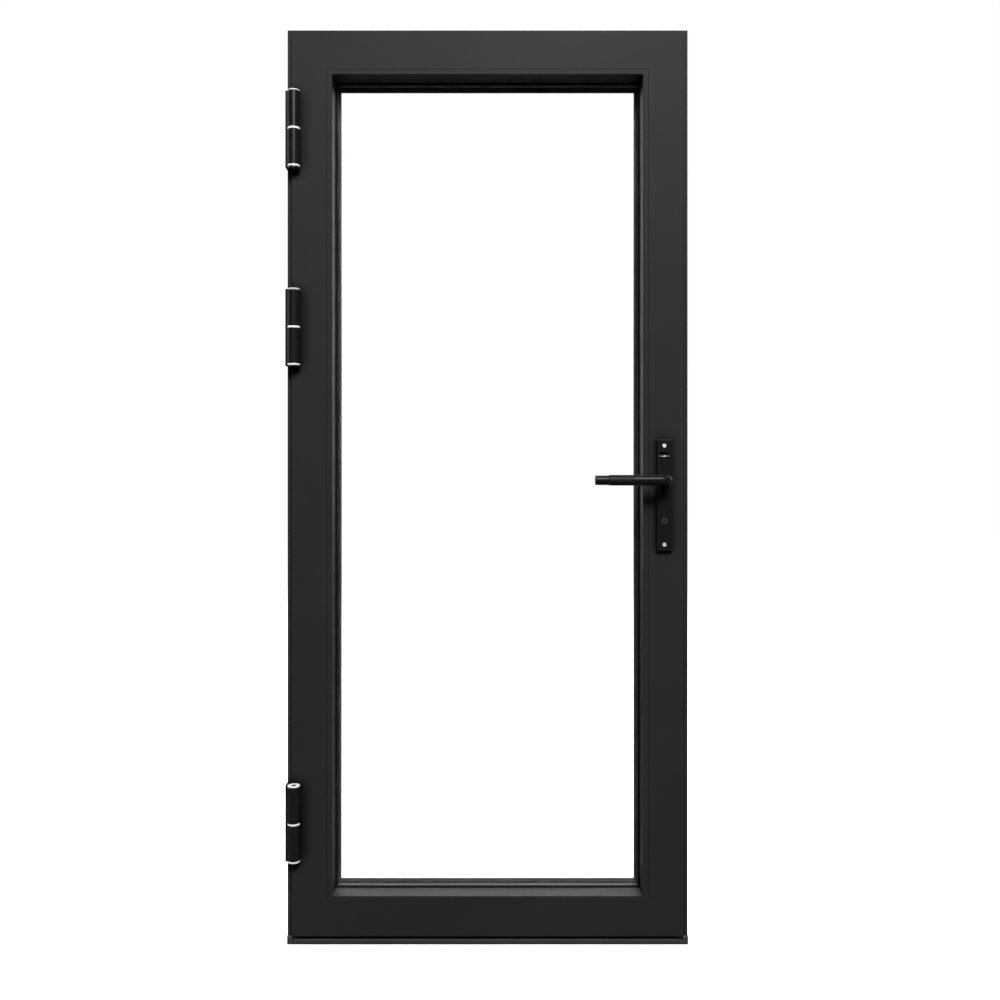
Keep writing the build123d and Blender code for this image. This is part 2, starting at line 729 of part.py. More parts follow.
def sash_seal():
    """The seal in the flange's groove, which closes on the frame's face."""
    flange_back = SASH_FRONT + FLANGE_THICKNESS
    low = SEAL_GROOVE_INSET
    high = SEAL_GROOVE_INSET + SEAL_GROOVE_WIDTH
    bulb_back = flange_back + SEAL_BULB_HEIGHT
    profile = section(
        (low + SEAL_PLAY, flange_back - SEAL_GROOVE_DEPTH),
        (high - SEAL_PLAY, flange_back - SEAL_GROOVE_DEPTH),
        (high - SEAL_PLAY, flange_back),
        (high + SEAL_BULB_OVERHANG, flange_back),
        (high + SEAL_BULB_OVERHANG, bulb_back, SEAL_ROUND),
        (low - SEAL_BULB_OVERHANG, bulb_back, SEAL_ROUND),
        (low - SEAL_BULB_OVERHANG, flange_back),
        (low + SEAL_PLAY, flange_back),
    )
    return sash_ring(profile)


# Hinges

def sash_stud_x():
    return HINGE_X - HINGE_EDGE_OFFSET + FLANGE_WIDTH / 2


def sash_stud_heights():
    """The two studs of a sash leaf, up from the hinge's middle."""
    middle = HINGE_WASHER / 2 + HINGE_KNUCKLE / 2
    return (middle - STUD_SPREAD / 2, middle + STUD_SPREAD / 2)


def hinge_frame_leaf(height):
    """The fixed leaf: lower knuckle, and a block scooped out round the knuckle that turns."""
    knuckle_top = height - HINGE_WASHER / 2
    knuckle_bottom = knuckle_top - HINGE_KNUCKLE
    ends = HINGE_WASHER / 2 + HINGE_KNUCKLE + HINGE_CAP
    scoop = HINGE_BARREL_RADIUS + FRAME_LEAF_SCOOP
    outside = -HALF_FRAME
    body = block(
        (outside, outside + FRAME_LEAF_WIDTH),
        (HINGE_Y + HINGE_BARREL_CLEARANCE, FRAME_FRONT),
        (height - ends, height + ends),
    )
    body = body - rod_z(scoop, HINGE_X, HINGE_Y, (knuckle_top, height + ends))
    body = body - rod_z(scoop, HINGE_X, HINGE_Y, (height - ends, knuckle_bottom))
    body = body + rod_z(HINGE_BARREL_RADIUS, HINGE_X, HINGE_Y, (knuckle_bottom, knuckle_top))
    bore = HINGE_PIN_RADIUS + HINGE_BORE_PLAY
    body = body - rod_z(bore, HINGE_X, HINGE_Y, (knuckle_bottom, knuckle_top))
    x = outside + FRAME_LEAF_WIDTH / 2
    for up in (-STUD_SPREAD, STUD_SPREAD):
        body = body + rod_y(STUD_RADIUS, x, (FRAME_FRONT - FUSE, FRAME_FRONT + STUD_LENGTH), height + up)
    return body


def hinge_sash_leaf(height):
    """The moving leaf: upper knuckle and the foot that lies on the stile's face."""
    low = height + HINGE_WASHER / 2 + HINGE_PLAY
    high = height + HINGE_WASHER / 2 + HINGE_KNUCKLE
    middle = (low + high) / 2
    left = -SASH_WIDTH / 2 + SASH_LEAF_INSET
    body = block(
        (left, left + SASH_LEAF_WIDTH),
        (SASH_FRONT - SASH_LEAF_THICKNESS, SASH_FRONT),
        (middle - SASH_LEAF_HEIGHT / 2, middle + SASH_LEAF_HEIGHT / 2),
    )
    body = body + rod_z(HINGE_BARREL_RADIUS, HINGE_X, HINGE_Y, (low, high))
    bore = HINGE_PIN_RADIUS + HINGE_BORE_PLAY
    body = body - rod_z(bore, HINGE_X, HINGE_Y, (low, high))
    for up in sash_stud_heights():
        y = (SASH_FRONT - FUSE, SASH_FRONT + STUD_LENGTH)
        body = body + rod_y(STUD_RADIUS, sash_stud_x(), y, height + up)
    return body


def at_each_hinge(make):
    return group([make(height) for height in HINGE_HEIGHTS.values()])


def hinge_pin(height):
    bottom = height - HINGE_WASHER / 2 - HINGE_KNUCKLE
    top = height + HINGE_WASHER / 2 + HINGE_KNUCKLE
    return rod_z(HINGE_PIN_RADIUS, HINGE_X, HINGE_Y, (bottom, top - HINGE_PIN_SHORT))


def hinge_washer(height):
    z = (height - HINGE_WASHER / 2, height + HINGE_WASHER / 2)
    washer = rod_z(HINGE_BARREL_RADIUS, HINGE_X, HINGE_Y, z)
    return washer - rod_z(HINGE_PIN_RADIUS + HINGE_BORE_PLAY, HINGE_X, HINGE_Y, z)


def hinge_top_cap(height):
    """The white dished cap, with a plug that fits the moving knuckle's bore."""
    seat = height + HINGE_WASHER / 2 + HINGE_KNUCKLE
    cap = rod_z(HINGE_BARREL_RADIUS, HINGE_X, HINGE_Y, (seat, seat + HINGE_CAP))
    rim = cap.edges().filter_by(GeomType.CIRCLE).sort_by(Axis.Z)[-1]
    cap = chamfer(rim, HINGE_CAP_CHAMFER)
    dish = (seat + HINGE_CAP - HINGE_CAP_DISH, seat + HINGE_CAP)
    cap = cap - rod_z(HINGE_CAP_DISH_RADIUS, HINGE_X, HINGE_Y, dish)
    plug = (seat - HINGE_PIN_SHORT + HINGE_PLUG_GAP, seat + FUSE)
    return cap + rod_z(HINGE_PIN_RADIUS, HINGE_X, HINGE_Y, plug)


def hinge_bottom_ring(height):
    seat = height - HINGE_WASHER / 2 - HINGE_KNUCKLE
    z = (seat - HINGE_RING, seat)
    body = rod_z(HINGE_BARREL_RADIUS, HINGE_X, HINGE_Y, z)
    return body - rod_z(HINGE_PIN_RADIUS + HINGE_BORE_PLAY, HINGE_X, HINGE_Y, z)


def hinge_adjuster(height):
    """The round plug under the bottom ring, with a socket for a key."""
    seat = height - HINGE_WASHER / 2 - HINGE_KNUCKLE
    low = seat - HINGE_RING - HINGE_ADJUSTER_HEIGHT
    disc = rod_z(HINGE_ADJUSTER_RADIUS, HINGE_X, HINGE_Y, (low, seat - HINGE_RING))
    rim = disc.edges().filter_by(GeomType.CIRCLE).sort_by(Axis.Z)[0]
    disc = chamfer(rim, HINGE_ADJUSTER_CHAMFER)
    stem = rod_z(HINGE_PIN_RADIUS, HINGE_X, HINGE_Y, (seat - HINGE_RING - FUSE, seat))
    socket = rod_z(HINGE_SOCKET_RADIUS, HINGE_X, HINGE_Y, (low, seat - HINGE_RING))
    return disc + stem - socket


# Backplates and their bolts

def plate_bolt_heights():
    return (PLATE_MIDDLE - PLATE_BOLT_PITCH / 2, PLATE_MIDDLE + PLATE_BOLT_PITCH / 2)


def backplate(width):
    """A cast plate on the room side: crowned edges outside, a pocket and bosses behind."""
    body = block(
        (SPINDLE_X - width / 2, SPINDLE_X + width / 2),
        (PLATE_FRONT, SASH_FRONT),
        (PLATE_MIDDLE - PLATE_HEIGHT / 2, PLATE_MIDDLE + PLATE_HEIGHT / 2),
    )
    body = fillet(body.edges().filter_by(Axis.Y), PLATE_CORNER)
    front = body.faces().sort_by(Axis.Y)[0]
    body = fillet(front.edges(), PLATE_ROUND)
    half = width / 2 - PLATE_WALL
    y = (PLATE_FRONT + PLATE_WALL, SASH_FRONT)
    pocket = block(
        (SPINDLE_X - half, SPINDLE_X + half),
        y,
        (PLATE_MIDDLE - PLATE_HEIGHT / 2 + PLATE_WALL, PLATE_MIDDLE + PLATE_HEIGHT / 2 - PLATE_WALL),
    )
    for z in plate_bolt_heights():
        pocket = pocket - rod_y(BOLT_BOSS_RADIUS, SPINDLE_X, y, z)
    pocket = pocket - rod_y(JOURNAL_RADIUS + PLATE_WALL, SPINDLE_X, y, SPINDLE_HEIGHT)
    pocket = pocket - rod_y(CYLINDER_RADIUS + PLATE_WALL, SPINDLE_X, y, CYLINDER_HEIGHT)
    body = body - pocket
    through = (PLATE_FRONT, SASH_FRONT)
    body = body - rod_y(JOURNAL_RADIUS + RUNNING_PLAY, SPINDLE_X, through, SPINDLE_HEIGHT)
    return body - rod_y(CYLINDER_RADIUS + CYLINDER_PLAY, SPINDLE_X, through, CYLINDER_HEIGHT)


def inside_backplate():
    body = backplate(PLATE_WIDTH)
    for z in plate_bolt_heights():
        body = body - rod_y(BOLT_RADIUS + BOLT_PLAY, SPINDLE_X, (PLATE_FRONT, SASH_FRONT), z)
        recess = (PLATE_FRONT, PLATE_FRONT + BOLT_RECESS_DEPTH)
        body = body - rod_y(BOLT_RECESS_RADIUS, SPINDLE_X, recess, z)
    half_width = SNIB_POCKET_WIDTH / 2
    half_height = SNIB_POCKET_HEIGHT / 2
    body = body + block(
        (SPINDLE_X - half_width - FUSE, SPINDLE_X + half_width + FUSE),
        (PLATE_FRONT + PLATE_WALL - FUSE, SASH_FRONT),
        (SNIB_HEIGHT - half_height - SNIB_GUARD, SNIB_HEIGHT + half_height + SNIB_GUARD),
    )
    floor = SNIB_HEIGHT - half_height
    body = body - block(
        (SPINDLE_X - half_width, SPINDLE_X + half_width),
        (PLATE_FRONT, PLATE_FRONT + SNIB_POCKET_DEPTH),
        (floor, SNIB_HEIGHT + half_height),
    )
    lower = body.edges().filter_by(Axis.X).filter_by_position(Axis.Z, floor - FUSE / 10, floor + FUSE / 10)
    return fillet(lower.sort_by(Axis.Y)[0], SNIB_POCKET_ROUND)


def outside_backplate():
    """The same plate outside, with blind threads for the through bolts."""
    body = backplate(OUTSIDE_PLATE_WIDTH)
    for z in plate_bolt_heights():
        blind = (PLATE_FRONT + PLATE_WALL, SASH_FRONT)
        body = body - rod_y(BOLT_RADIUS + BOLT_PLAY, SPINDLE_X, blind, z)
    return turned_outside(body)


def turned_outside(shape):
    """A piece of the room side carried over to the far face of the leaf."""
    return mirror(shape, about=Plane((0, LOCK_PLANE, 0), z_dir=(0, 1, 0)))


def backplate_bolts():
    """Two screws from the room side into the outside plate."""
    seat = PLATE_FRONT + BOLT_RECESS_DEPTH
    outside_seat = 2 * LOCK_PLANE - PLATE_FRONT - PLATE_WALL
    bolts = []
    for z in plate_bolt_heights():
        head = rod_y(BOLT_HEAD_RADIUS, SPINDLE_X, (seat - BOLT_HEAD_HEIGHT, seat), z)
        rim = head.edges().filter_by(GeomType.CIRCLE).sort_by(Axis.Y)[0]
        head = chamfer(rim, BOLT_HEAD_CHAMFER)
        bolt = head + rod_y(BOLT_RADIUS, SPINDLE_X, (seat - FUSE, outside_seat - BOLT_END_GAP), z)
        socket = (seat - BOLT_HEAD_HEIGHT, seat - BOLT_HEAD_HEIGHT + BOLT_SOCKET_DEPTH)
        bolts.append(bolt - rod_y(BOLT_SOCKET_RADIUS, SPINDLE_X, socket, z))
    return group(bolts)


def snib_button():
    """The small slider in the pocket above the spindle, at the pocket's right end."""
    half = SNIB_POCKET_HEIGHT / 2 - SNIB_PLAY
    right = SPINDLE_X + SNIB_POCKET_WIDTH / 2 - SNIB_PLAY
    floor = PLATE_FRONT + SNIB_POCKET_DEPTH - SNIB_FLOOR_PLAY
    body = block(
        (right - SNIB_WIDTH, right),
        (PLATE_FRONT + SNIB_INSET, floor),
        (SNIB_HEIGHT - half, SNIB_HEIGHT + half),
    )
    rib = block(
        (right - SNIB_WIDTH / 2 - SNIB_RIB, right - SNIB_WIDTH / 2 + SNIB_RIB),
        (PLATE_FRONT + SNIB_RIB_INSET, floor),
        (SNIB_HEIGHT - half, SNIB_HEIGHT + half),
    )
    return body + rib


# Levers

def lever(to_tip):
    """A room side lever: a journal in the plate, a neck, a bend and a bar with a thinner core."""
    neck_start = PLATE_FRONT - LEVER_PLATE_GAP
    tip_end = SPINDLE_X - to_tip + TIP_LENGTH
    bar_end = tip_end + GRIP_LENGTH
    path = FilletPolyline(
        (SPINDLE_X, neck_start, SPINDLE_HEIGHT),
        (SPINDLE_X, LEVER_Y, SPINDLE_HEIGHT),
        (bar_end, LEVER_Y, SPINDLE_HEIGHT),
        radius=LEVER_BEND,
    )
    body = sweep(Plane(path @ 0, z_dir=path % 0) * Circle(LEVER_RADIUS), path=path)
    journal = (neck_start - FUSE, SASH_FRONT - JOURNAL_END_PLAY)
    body = body + rod_y(JOURNAL_RADIUS, SPINDLE_X, journal, SPINDLE_HEIGHT)
    core = (tip_end - TIP_HOLD, bar_end + FUSE)
    body = body + rod_x(LEVER_CORE_RADIUS, core, LEVER_Y, SPINDLE_HEIGHT)
    half = SPINDLE_SIDE / 2 + SPINDLE_PLAY
    body = body - block(
        (SPINDLE_X - half, SPINDLE_X + half),
        (neck_start - SPINDLE_IN_LEVER, SASH_FRONT),
        (SPINDLE_HEIGHT - half, SPINDLE_HEIGHT + half),
    )
    return body - rod_z(GRUB_RADIUS + GRUB_PLAY, SPINDLE_X, grub_y(), grub_span())


def grub_y():
    return PLATE_FRONT - LEVER_PLATE_GAP - GRUB_DEPTH_INTO_NECK


def grub_span():
    """The hole of the grub screw, from below the neck up to the spindle."""
    return (SPINDLE_HEIGHT - LEVER_RADIUS, SPINDLE_HEIGHT - SPINDLE_SIDE / 2)


def grub_screws():
    """A grub screw under each lever's neck, tight on the spindle."""
    top = SPINDLE_HEIGHT - SPINDLE_SIDE / 2
    screw = rod_z(GRUB_RADIUS, SPINDLE_X, grub_y(), (top - GRUB_LENGTH, top))
    return group([screw, turned_outside(screw)])


def grip(to_tip):
    """The sleeve on the bar's core."""
    low = SPINDLE_X - to_tip + TIP_LENGTH
    span = (low + GRIP_SEAM, low + GRIP_LENGTH - GRIP_SEAM)
    body = rod_x(LEVER_RADIUS, span, LEVER_Y, SPINDLE_HEIGHT)
    body = chamfer(body.edges().filter_by(GeomType.CIRCLE), GRIP_SEAM)
    return body - rod_x(LEVER_CORE_RADIUS + CORE_PLAY, span, LEVER_Y, SPINDLE_HEIGHT)


def tip(to_tip):
    """The end cap of the bar."""
    low = SPINDLE_X - to_tip
    high = low + TIP_LENGTH
    body = rod_x(TIP_RADIUS, (low, high), LEVER_Y, SPINDLE_HEIGHT)
    rims = body.edges().filter_by(GeomType.CIRCLE).sort_by(Axis.X)
    body = fillet(rims[0], TIP_ROUND)
    rim = body.edges().filter_by(GeomType.CIRCLE).sort_by(Axis.X)[-1]
    body = chamfer(rim, GRIP_SEAM)
    socket = (high - TIP_HOLD - TIP_END_PLAY, high)
    return body - rod_x(LEVER_CORE_RADIUS + CORE_PLAY, socket, LEVER_Y, SPINDLE_HEIGHT)


def spindle():
    """The square bar that turns both levers and the follower."""
    half = SPINDLE_SIDE / 2
    front = PLATE_FRONT - LEVER_PLATE_GAP - SPINDLE_IN_LEVER + SPINDLE_END_GAP
    return block(
        (SPINDLE_X - half, SPINDLE_X + half),
        (front, 2 * LOCK_PLANE - front),
        (SPINDLE_HEIGHT - half, SPINDLE_HEIGHT + half),
    )


# Lock

def finger_radius(throw, turn):
    """The crank radius that moves a bolt by its throw, half the turn each side of upright."""
    return throw / 2 / sin(radians(turn / 2))


def crank(hub_radius, hub_y, throw, turn, lean):
    """A hub with a round-tipped finger that leans off upright by half its turn."""
    radius = finger_radius(throw, turn)
    half = FINGER_THICKNESS / 2
    hub = rod_y(hub_radius, 0, hub_y, 0)
    thin = (LOCK_PLANE - half, LOCK_PLANE + half)
    finger = block((-FINGER_WAIST / 2, FINGER_WAIST / 2), thin, (0, radius))
    finger = finger + rod_y(FINGER_TIP, 0, thin, radius)
    return hub + Rot(0, lean * turn / 2, 0) * finger


def crank_offset(throw):
    """How far the finger stands to one side of its hub at rest."""
    return throw / 2


def follower():
    """The latch's crank, with journals in the case and a square hole for the spindle."""
    inner = CASE_THICKNESS / 2 - CASE_WALL - BOLT_SLIDE_PLAY
    hub_y = (LOCK_PLANE - inner, LOCK_PLANE + inner)
    body = crank(FOLLOWER_RADIUS, hub_y, LATCH_THROW, LEVER_TURN, 1)
    body = body + rod_y(FOLLOWER_JOURNAL, 0, (CASE_FRONT, CASE_BACK), 0)
    half = SPINDLE_SIDE / 2 + SPINDLE_PLAY
    body = body - block((-half, half), (CASE_FRONT, CASE_BACK), (-half, half))
    return Pos(SPINDLE_X, 0, SPINDLE_HEIGHT) * body


def lock_cam():
    """The deadbolt's crank, between the two key plugs."""
    hub_y = (LOCK_PLANE - CAM_THICKNESS / 2, LOCK_PLANE + CAM_THICKNESS / 2)
    body = crank(CAM_RADIUS, hub_y, DEADBOLT_THROW, KEY_TURN, -1)
    return Pos(SPINDLE_X, 0, CYLINDER_HEIGHT) * body


def bolt_bottom(axis_height, throw, turn):
    """The underside of a bolt that its crank's finger passes below."""
    return axis_height + finger_radius(throw, turn) + FINGER_TIP + NOTCH_PLAY + LUG_ROOF


def latch_middle():
    return bolt_bottom(SPINDLE_HEIGHT, LATCH_THROW, LEVER_TURN) + LATCH_HEIGHT / 2


def deadbolt_middle():
    return bolt_bottom(CYLINDER_HEIGHT, DEADBOLT_THROW, KEY_TURN) + DEADBOLT_HEIGHT / 2


def sliding_bolt(middle, height, front_x, axis_height, lug_bottom, finger_x, throw, turn):
    """A bolt with a notched lug below it that its crank's finger works in."""
    y = (LOCK_PLANE - BOLT_WIDTH / 2, LOCK_PLANE + BOLT_WIDTH / 2)
    notch = FINGER_TIP + NOTCH_PLAY
    rear = finger_x - notch - LUG_WALL
    body = block((rear, front_x), y, (middle - height / 2, middle + height / 2))
    lug_y = (LOCK_PLANE - FINGER_THICKNESS / 2, LOCK_PLANE + FINGER_THICKNESS / 2)
    body = body + block(
        (rear, finger_x + notch + LUG_WALL), lug_y, (lug_bottom, middle - height / 2 + FUSE)
    )
    roof = axis_height + finger_radius(throw, turn) + FINGER_TIP + NOTCH_PLAY
    return body - block((finger_x - notch, finger_x + notch), y, (lug_bottom, roof))


def latch_bolt():
    """The sprung bolt, out at rest, with a slanted nose on the side that meets the strike when closing."""
    tip_x = FACEPLATE_FACE + LATCH_OUT
    body = sliding_bolt(
        latch_middle(),
        LATCH_HEIGHT,
        tip_x,
        SPINDLE_HEIGHT,
        SPINDLE_HEIGHT + FOLLOWER_RADIUS + LUG_ABOVE_HUB,
        SPINDLE_X + crank_offset(LATCH_THROW),
        LATCH_THROW,
        LEVER_TURN,
    )
    back = LOCK_PLANE + BOLT_WIDTH / 2
    slant = section((tip_x, back), (tip_x - LATCH_BEVEL, back), (tip_x, back - LATCH_BEVEL))
    wedge = extrude(slant, LATCH_HEIGHT, both=True)
    return body - Pos(0, 0, latch_middle()) * wedge


def deadbolt():
    """The square bolt, drawn in at rest."""
    return sliding_bolt(
        deadbolt_middle(),
        DEADBOLT_HEIGHT,
        FACEPLATE_FACE - BOLT_SLIDE_PLAY,
        CYLINDER_HEIGHT,
        CYLINDER_HEIGHT + CAM_RADIUS + CAM_LUG_ABOVE_HUB,
        SPINDLE_X - crank_offset(DEADBOLT_THROW),
        DEADBOLT_THROW,
        KEY_TURN,
    )


def case_holes(y):
    """The holes in both walls of the case for the follower and the cylinder."""
    spindle_hole = rod_y(FOLLOWER_JOURNAL + RUNNING_PLAY, SPINDLE_X, y, SPINDLE_HEIGHT)
    return spindle_hole + rod_y(CYLINDER_RADIUS + CYLINDER_PLAY, SPINDLE_X, y, CYLINDER_HEIGHT)


def lock_case():
    """The tray of the lock, open on the side that its cover closes."""
    rear = SPINDLE_X - CASE_BEHIND_SPINDLE
    open_y = CASE_BACK - CASE_WALL
    body = block((rear, LOCK_EDGE), (CASE_FRONT, open_y), (CASE_BOTTOM, CASE_TOP))
    body = body - block(
        (rear + CASE_WALL, LOCK_EDGE - CASE_WALL),
        (CASE_FRONT + CASE_WALL, open_y),
        (CASE_BOTTOM + CASE_WALL, CASE_TOP - CASE_WALL),
    )
    wall = (LOCK_EDGE - CASE_WALL, LOCK_EDGE)
    body = body - bolt_window(*wall, latch_middle(), LATCH_HEIGHT, BOLT_SLIDE_PLAY)
    body = body - bolt_window(*wall, deadbolt_middle(), DEADBOLT_HEIGHT, BOLT_SLIDE_PLAY)
    return body - case_holes((CASE_FRONT, open_y))


def lock_cover():
    rear = SPINDLE_X - CASE_BEHIND_SPINDLE
    y = (CASE_BACK - CASE_WALL, CASE_BACK)
    return block((rear, LOCK_EDGE), y, (CASE_BOTTOM, CASE_TOP)) - case_holes(y)


def faceplate_screw_heights():
    reach = FACEPLATE_MARGIN - FACEPLATE_SCREW_INSET
    return (CASE_BOTTOM - reach, CASE_TOP + reach)


def lock_faceplate():
    """The strip on the leaf's edge that the bolts come through."""
    half = FACEPLATE_WIDTH / 2
    x = (LOCK_EDGE, FACEPLATE_FACE)
    body = block(
        x,
        (LOCK_PLANE - half, LOCK_PLANE + half),
        (CASE_BOTTOM - FACEPLATE_MARGIN, CASE_TOP + FACEPLATE_MARGIN),
    )
    body = fillet(body.edges().filter_by(Axis.X), PLATE_CORNER)
    body = body - bolt_window(*x, latch_middle(), LATCH_HEIGHT, BOLT_SLIDE_PLAY)
    body = body - bolt_window(*x, deadbolt_middle(), DEADBOLT_HEIGHT, BOLT_SLIDE_PLAY)
    for z in faceplate_screw_heights():
        body = body - small_screw(FACEPLATE_FACE, z, 1, STUD_PLAY)
    return body


def small_screw(face_x, z, outward, play):
    """A countersunk screw along X with its head flush with a face, larger all round by the play."""
    sink = SMALL_SCREW_HEAD - SMALL_SCREW_RADIUS
    profile = section(
        (0, 0),
        (SMALL_SCREW_HEAD + play, 0),
        (SMALL_SCREW_RADIUS + play, -sink),
        (SMALL_SCREW_RADIUS + play, -SMALL_SCREW_LENGTH),
        (0, -SMALL_SCREW_LENGTH),
    )
    screw = revolve(Plane.XZ * profile, Axis.Z)
    if play == 0:
        screw = screw - rod_z(SMALL_SCREW_SOCKET, 0, 0, (-SMALL_SCREW_SOCKET, 0))
    return Pos(face_x, LOCK_PLANE, z) * Rot(0, 90 * outward, 0) * screw


def faceplate_screws():
    return group([small_screw(FACEPLATE_FACE, z, 1, 0) for z in faceplate_screw_heights()])


def lock_cylinder():
    """The round body of the key cylinder, through both plates, with a gap in the middle for the cam."""
    front = PLATE_FRONT - CYLINDER_PROUD
    y = (front, 2 * LOCK_PLANE - front)
    body = rod_y(CYLINDER_RADIUS, SPINDLE_X, y, CYLINDER_HEIGHT)
    body = body - rod_y(PLUG_RADIUS + PLUG_PLAY, SPINDLE_X, y, CYLINDER_HEIGHT)
    half = CAM_THICKNESS / 2 + CAM_PLAY
    gap = (LOCK_PLANE - half, LOCK_PLANE + half)
    body = body - rod_y(CAM_RADIUS + CAM_PLAY, SPINDLE_X, gap, CYLINDER_HEIGHT)
    return body - block(
        (SPINDLE_X - CYLINDER_RADIUS, SPINDLE_X + CYLINDER_RADIUS),
        gap,
        (CYLINDER_HEIGHT - CAM_GAP_BELOW, CYLINDER_HEIGHT + CYLINDER_RADIUS),
    )


def key_plugs():
    """The turning cores of the cylinder, one each side, each with a keyway."""
    front = PLATE_FRONT - CYLINDER_PROUD + PLUG_INSET
    plug = rod_y(PLUG_RADIUS, SPINDLE_X, (front, LOCK_PLANE - CAM_THICKNESS / 2), CYLINDER_HEIGHT)
    plug = plug - block(
        (SPINDLE_X - KEYWAY_WIDTH / 2, SPINDLE_X + KEYWAY_WIDTH / 2),
        (front, front + KEYWAY_DEPTH),
        (CYLINDER_HEIGHT - KEYWAY_HEIGHT / 2, CYLINDER_HEIGHT + KEYWAY_HEIGHT / 2),
    )
    return group([plug, turned_outside(plug)])


# Strike plate

def strike_span():
    low = deadbolt_middle() - DEADBOLT_HEIGHT / 2 - STRIKE_MARGIN
    high = latch_middle() + LATCH_HEIGHT / 2 + STRIKE_MARGIN
    return (low, high)


def strike_screw_heights():
    low, high = strike_span()
    return (low + STRIKE_SCREW_INSET, high - STRIKE_SCREW_INSET)


def strike_plate():
    """The keeper on the jamb that both bolts enter."""
    half = STRIKE_WIDTH / 2
    x = (JAMB_INNER - STRIKE_THICKNESS, JAMB_INNER)
    body = block(x, (LOCK_PLANE - half, LOCK_PLANE + half), strike_span())
    body = fillet(body.edges().filter_by(Axis.X), PLATE_CORNER)
    body = body - bolt_window(*x, latch_middle(), LATCH_HEIGHT, STRIKE_PLAY)
    body = body - bolt_window(*x, deadbolt_middle(), DEADBOLT_HEIGHT, STRIKE_PLAY)
    for z in strike_screw_heights():
        body = body - small_screw(x[0], z, -1, STUD_PLAY)
    return body


def strike_screws():
    face = JAMB_INNER - STRIKE_THICKNESS
    return group([small_screw(face, z, -1, 0) for z in strike_screw_heights()])


def all_parts():
    """Every piece of the door by its name."""
    parts = {
        "hinge_jamb": hinge_jamb(),
        "lock_jamb": lock_jamb(),
        "frame_head": frame_head(),
        "threshold": threshold(),
        "threshold_end_blocks": threshold_end_blocks(),
        "frame_corner_cleats": frame_corner_cleats(),
        "frame_stop_seal": frame_stop_seal(),
        "threshold_seal": threshold_seal(),
        "strike_plate": strike_plate(),
        "strike_screws": strike_screws(),
        "hinge_pins": at_each_hinge(hinge_pin),
        "hinge_washers": at_each_hinge(hinge_washer),
        "hinge_bottom_rings": at_each_hinge(hinge_bottom_ring),
        "hinge_adjusters": at_each_hinge(hinge_adjuster),
        "hinge_top_caps": at_each_hinge(hinge_top_cap),
        "sash_hinge_stile": sash_hinge_stile(),
        "sash_lock_stile": sash_lock_stile(),
        "sash_top_rail": sash_member(sash_profile(), "top"),
        "sash_bottom_rail": sash_member(sash_profile(), "bottom"),
        "sash_corner_cleats": sash_corner_cleats(),
        "sash_seal": sash_seal(),
        "inner_pane": pane(INNER_PANE_FRONT),
        "outer_pane": pane(OUTER_PANE_FRONT),
        "pane_spacer": pane_spacer(),
        "setting_blocks": setting_blocks(),
        "inner_glazing_gasket": inner_glazing_gasket(),
        "outer_glazing_gasket": outer_glazing_gasket(),
        "inside_backplate": inside_backplate(),
        "outside_backplate": outside_backplate(),
        "backplate_bolts": backplate_bolts(),
        "snib_button": snib_button(),
        "inside_lever": lever(LEVER_TO_TIP),
        "outside_lever": turned_outside(lever(OUTSIDE_LEVER_TO_TIP)),
        "inside_grip": grip(LEVER_TO_TIP),
        "outside_grip": turned_outside(grip(OUTSIDE_LEVER_TO_TIP)),
        "inside_tip": tip(LEVER_TO_TIP),
        "outside_tip": turned_outside(tip(OUTSIDE_LEVER_TO_TIP)),
        "grub_screws": grub_screws(),
        "spindle": spindle(),
        "follower": follower(),
        "latch_bolt": latch_bolt(),
        "lock_case": lock_case(),
        "lock_cover": lock_cover(),
        "lock_faceplate": lock_faceplate(),
        "faceplate_screws": faceplate_screws(),
        "lock_cylinder": lock_cylinder(),
        "key_plugs": key_plugs(),
        "lock_cam": lock_cam(),
        "deadbolt": deadbolt(),
    }
    for side in SIDES:
        parts["bead_" + side] = sash_member(bead_profile(), side)
    for name, height in HINGE_HEIGHTS.items():
        parts["hinge_frame_leaf_" + name] = hinge_frame_leaf(height)
        parts["hinge_sash_leaf_" + name] = hinge_sash_leaf(height)
    return parts


os.makedirs("parts", exist_ok=True)
for node, shape in all_parts().items():
    export_step(shape, "parts/" + node + ".step")
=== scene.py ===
import json
import math

import bmesh
import bpy
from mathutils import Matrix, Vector


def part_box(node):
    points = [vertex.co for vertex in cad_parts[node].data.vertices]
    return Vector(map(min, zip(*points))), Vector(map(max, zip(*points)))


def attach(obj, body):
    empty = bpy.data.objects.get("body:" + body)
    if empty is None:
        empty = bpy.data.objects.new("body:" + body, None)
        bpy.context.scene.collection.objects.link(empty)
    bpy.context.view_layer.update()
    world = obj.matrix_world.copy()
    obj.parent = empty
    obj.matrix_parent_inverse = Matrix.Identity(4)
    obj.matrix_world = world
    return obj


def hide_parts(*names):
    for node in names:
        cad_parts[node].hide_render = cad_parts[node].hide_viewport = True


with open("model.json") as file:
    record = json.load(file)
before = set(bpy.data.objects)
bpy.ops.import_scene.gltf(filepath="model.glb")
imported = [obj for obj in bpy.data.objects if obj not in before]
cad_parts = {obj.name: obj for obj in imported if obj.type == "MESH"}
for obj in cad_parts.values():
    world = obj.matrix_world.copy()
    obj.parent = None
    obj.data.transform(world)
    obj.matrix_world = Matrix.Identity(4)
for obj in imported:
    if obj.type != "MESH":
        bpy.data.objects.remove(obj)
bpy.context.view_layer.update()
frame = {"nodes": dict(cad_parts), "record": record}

# A glazed black aluminium door in its frame, seen from the room. Lengths are in metres.

# Axes by number
ALONG_X = 0
ALONG_Y = 1
ALONG_Z = 2

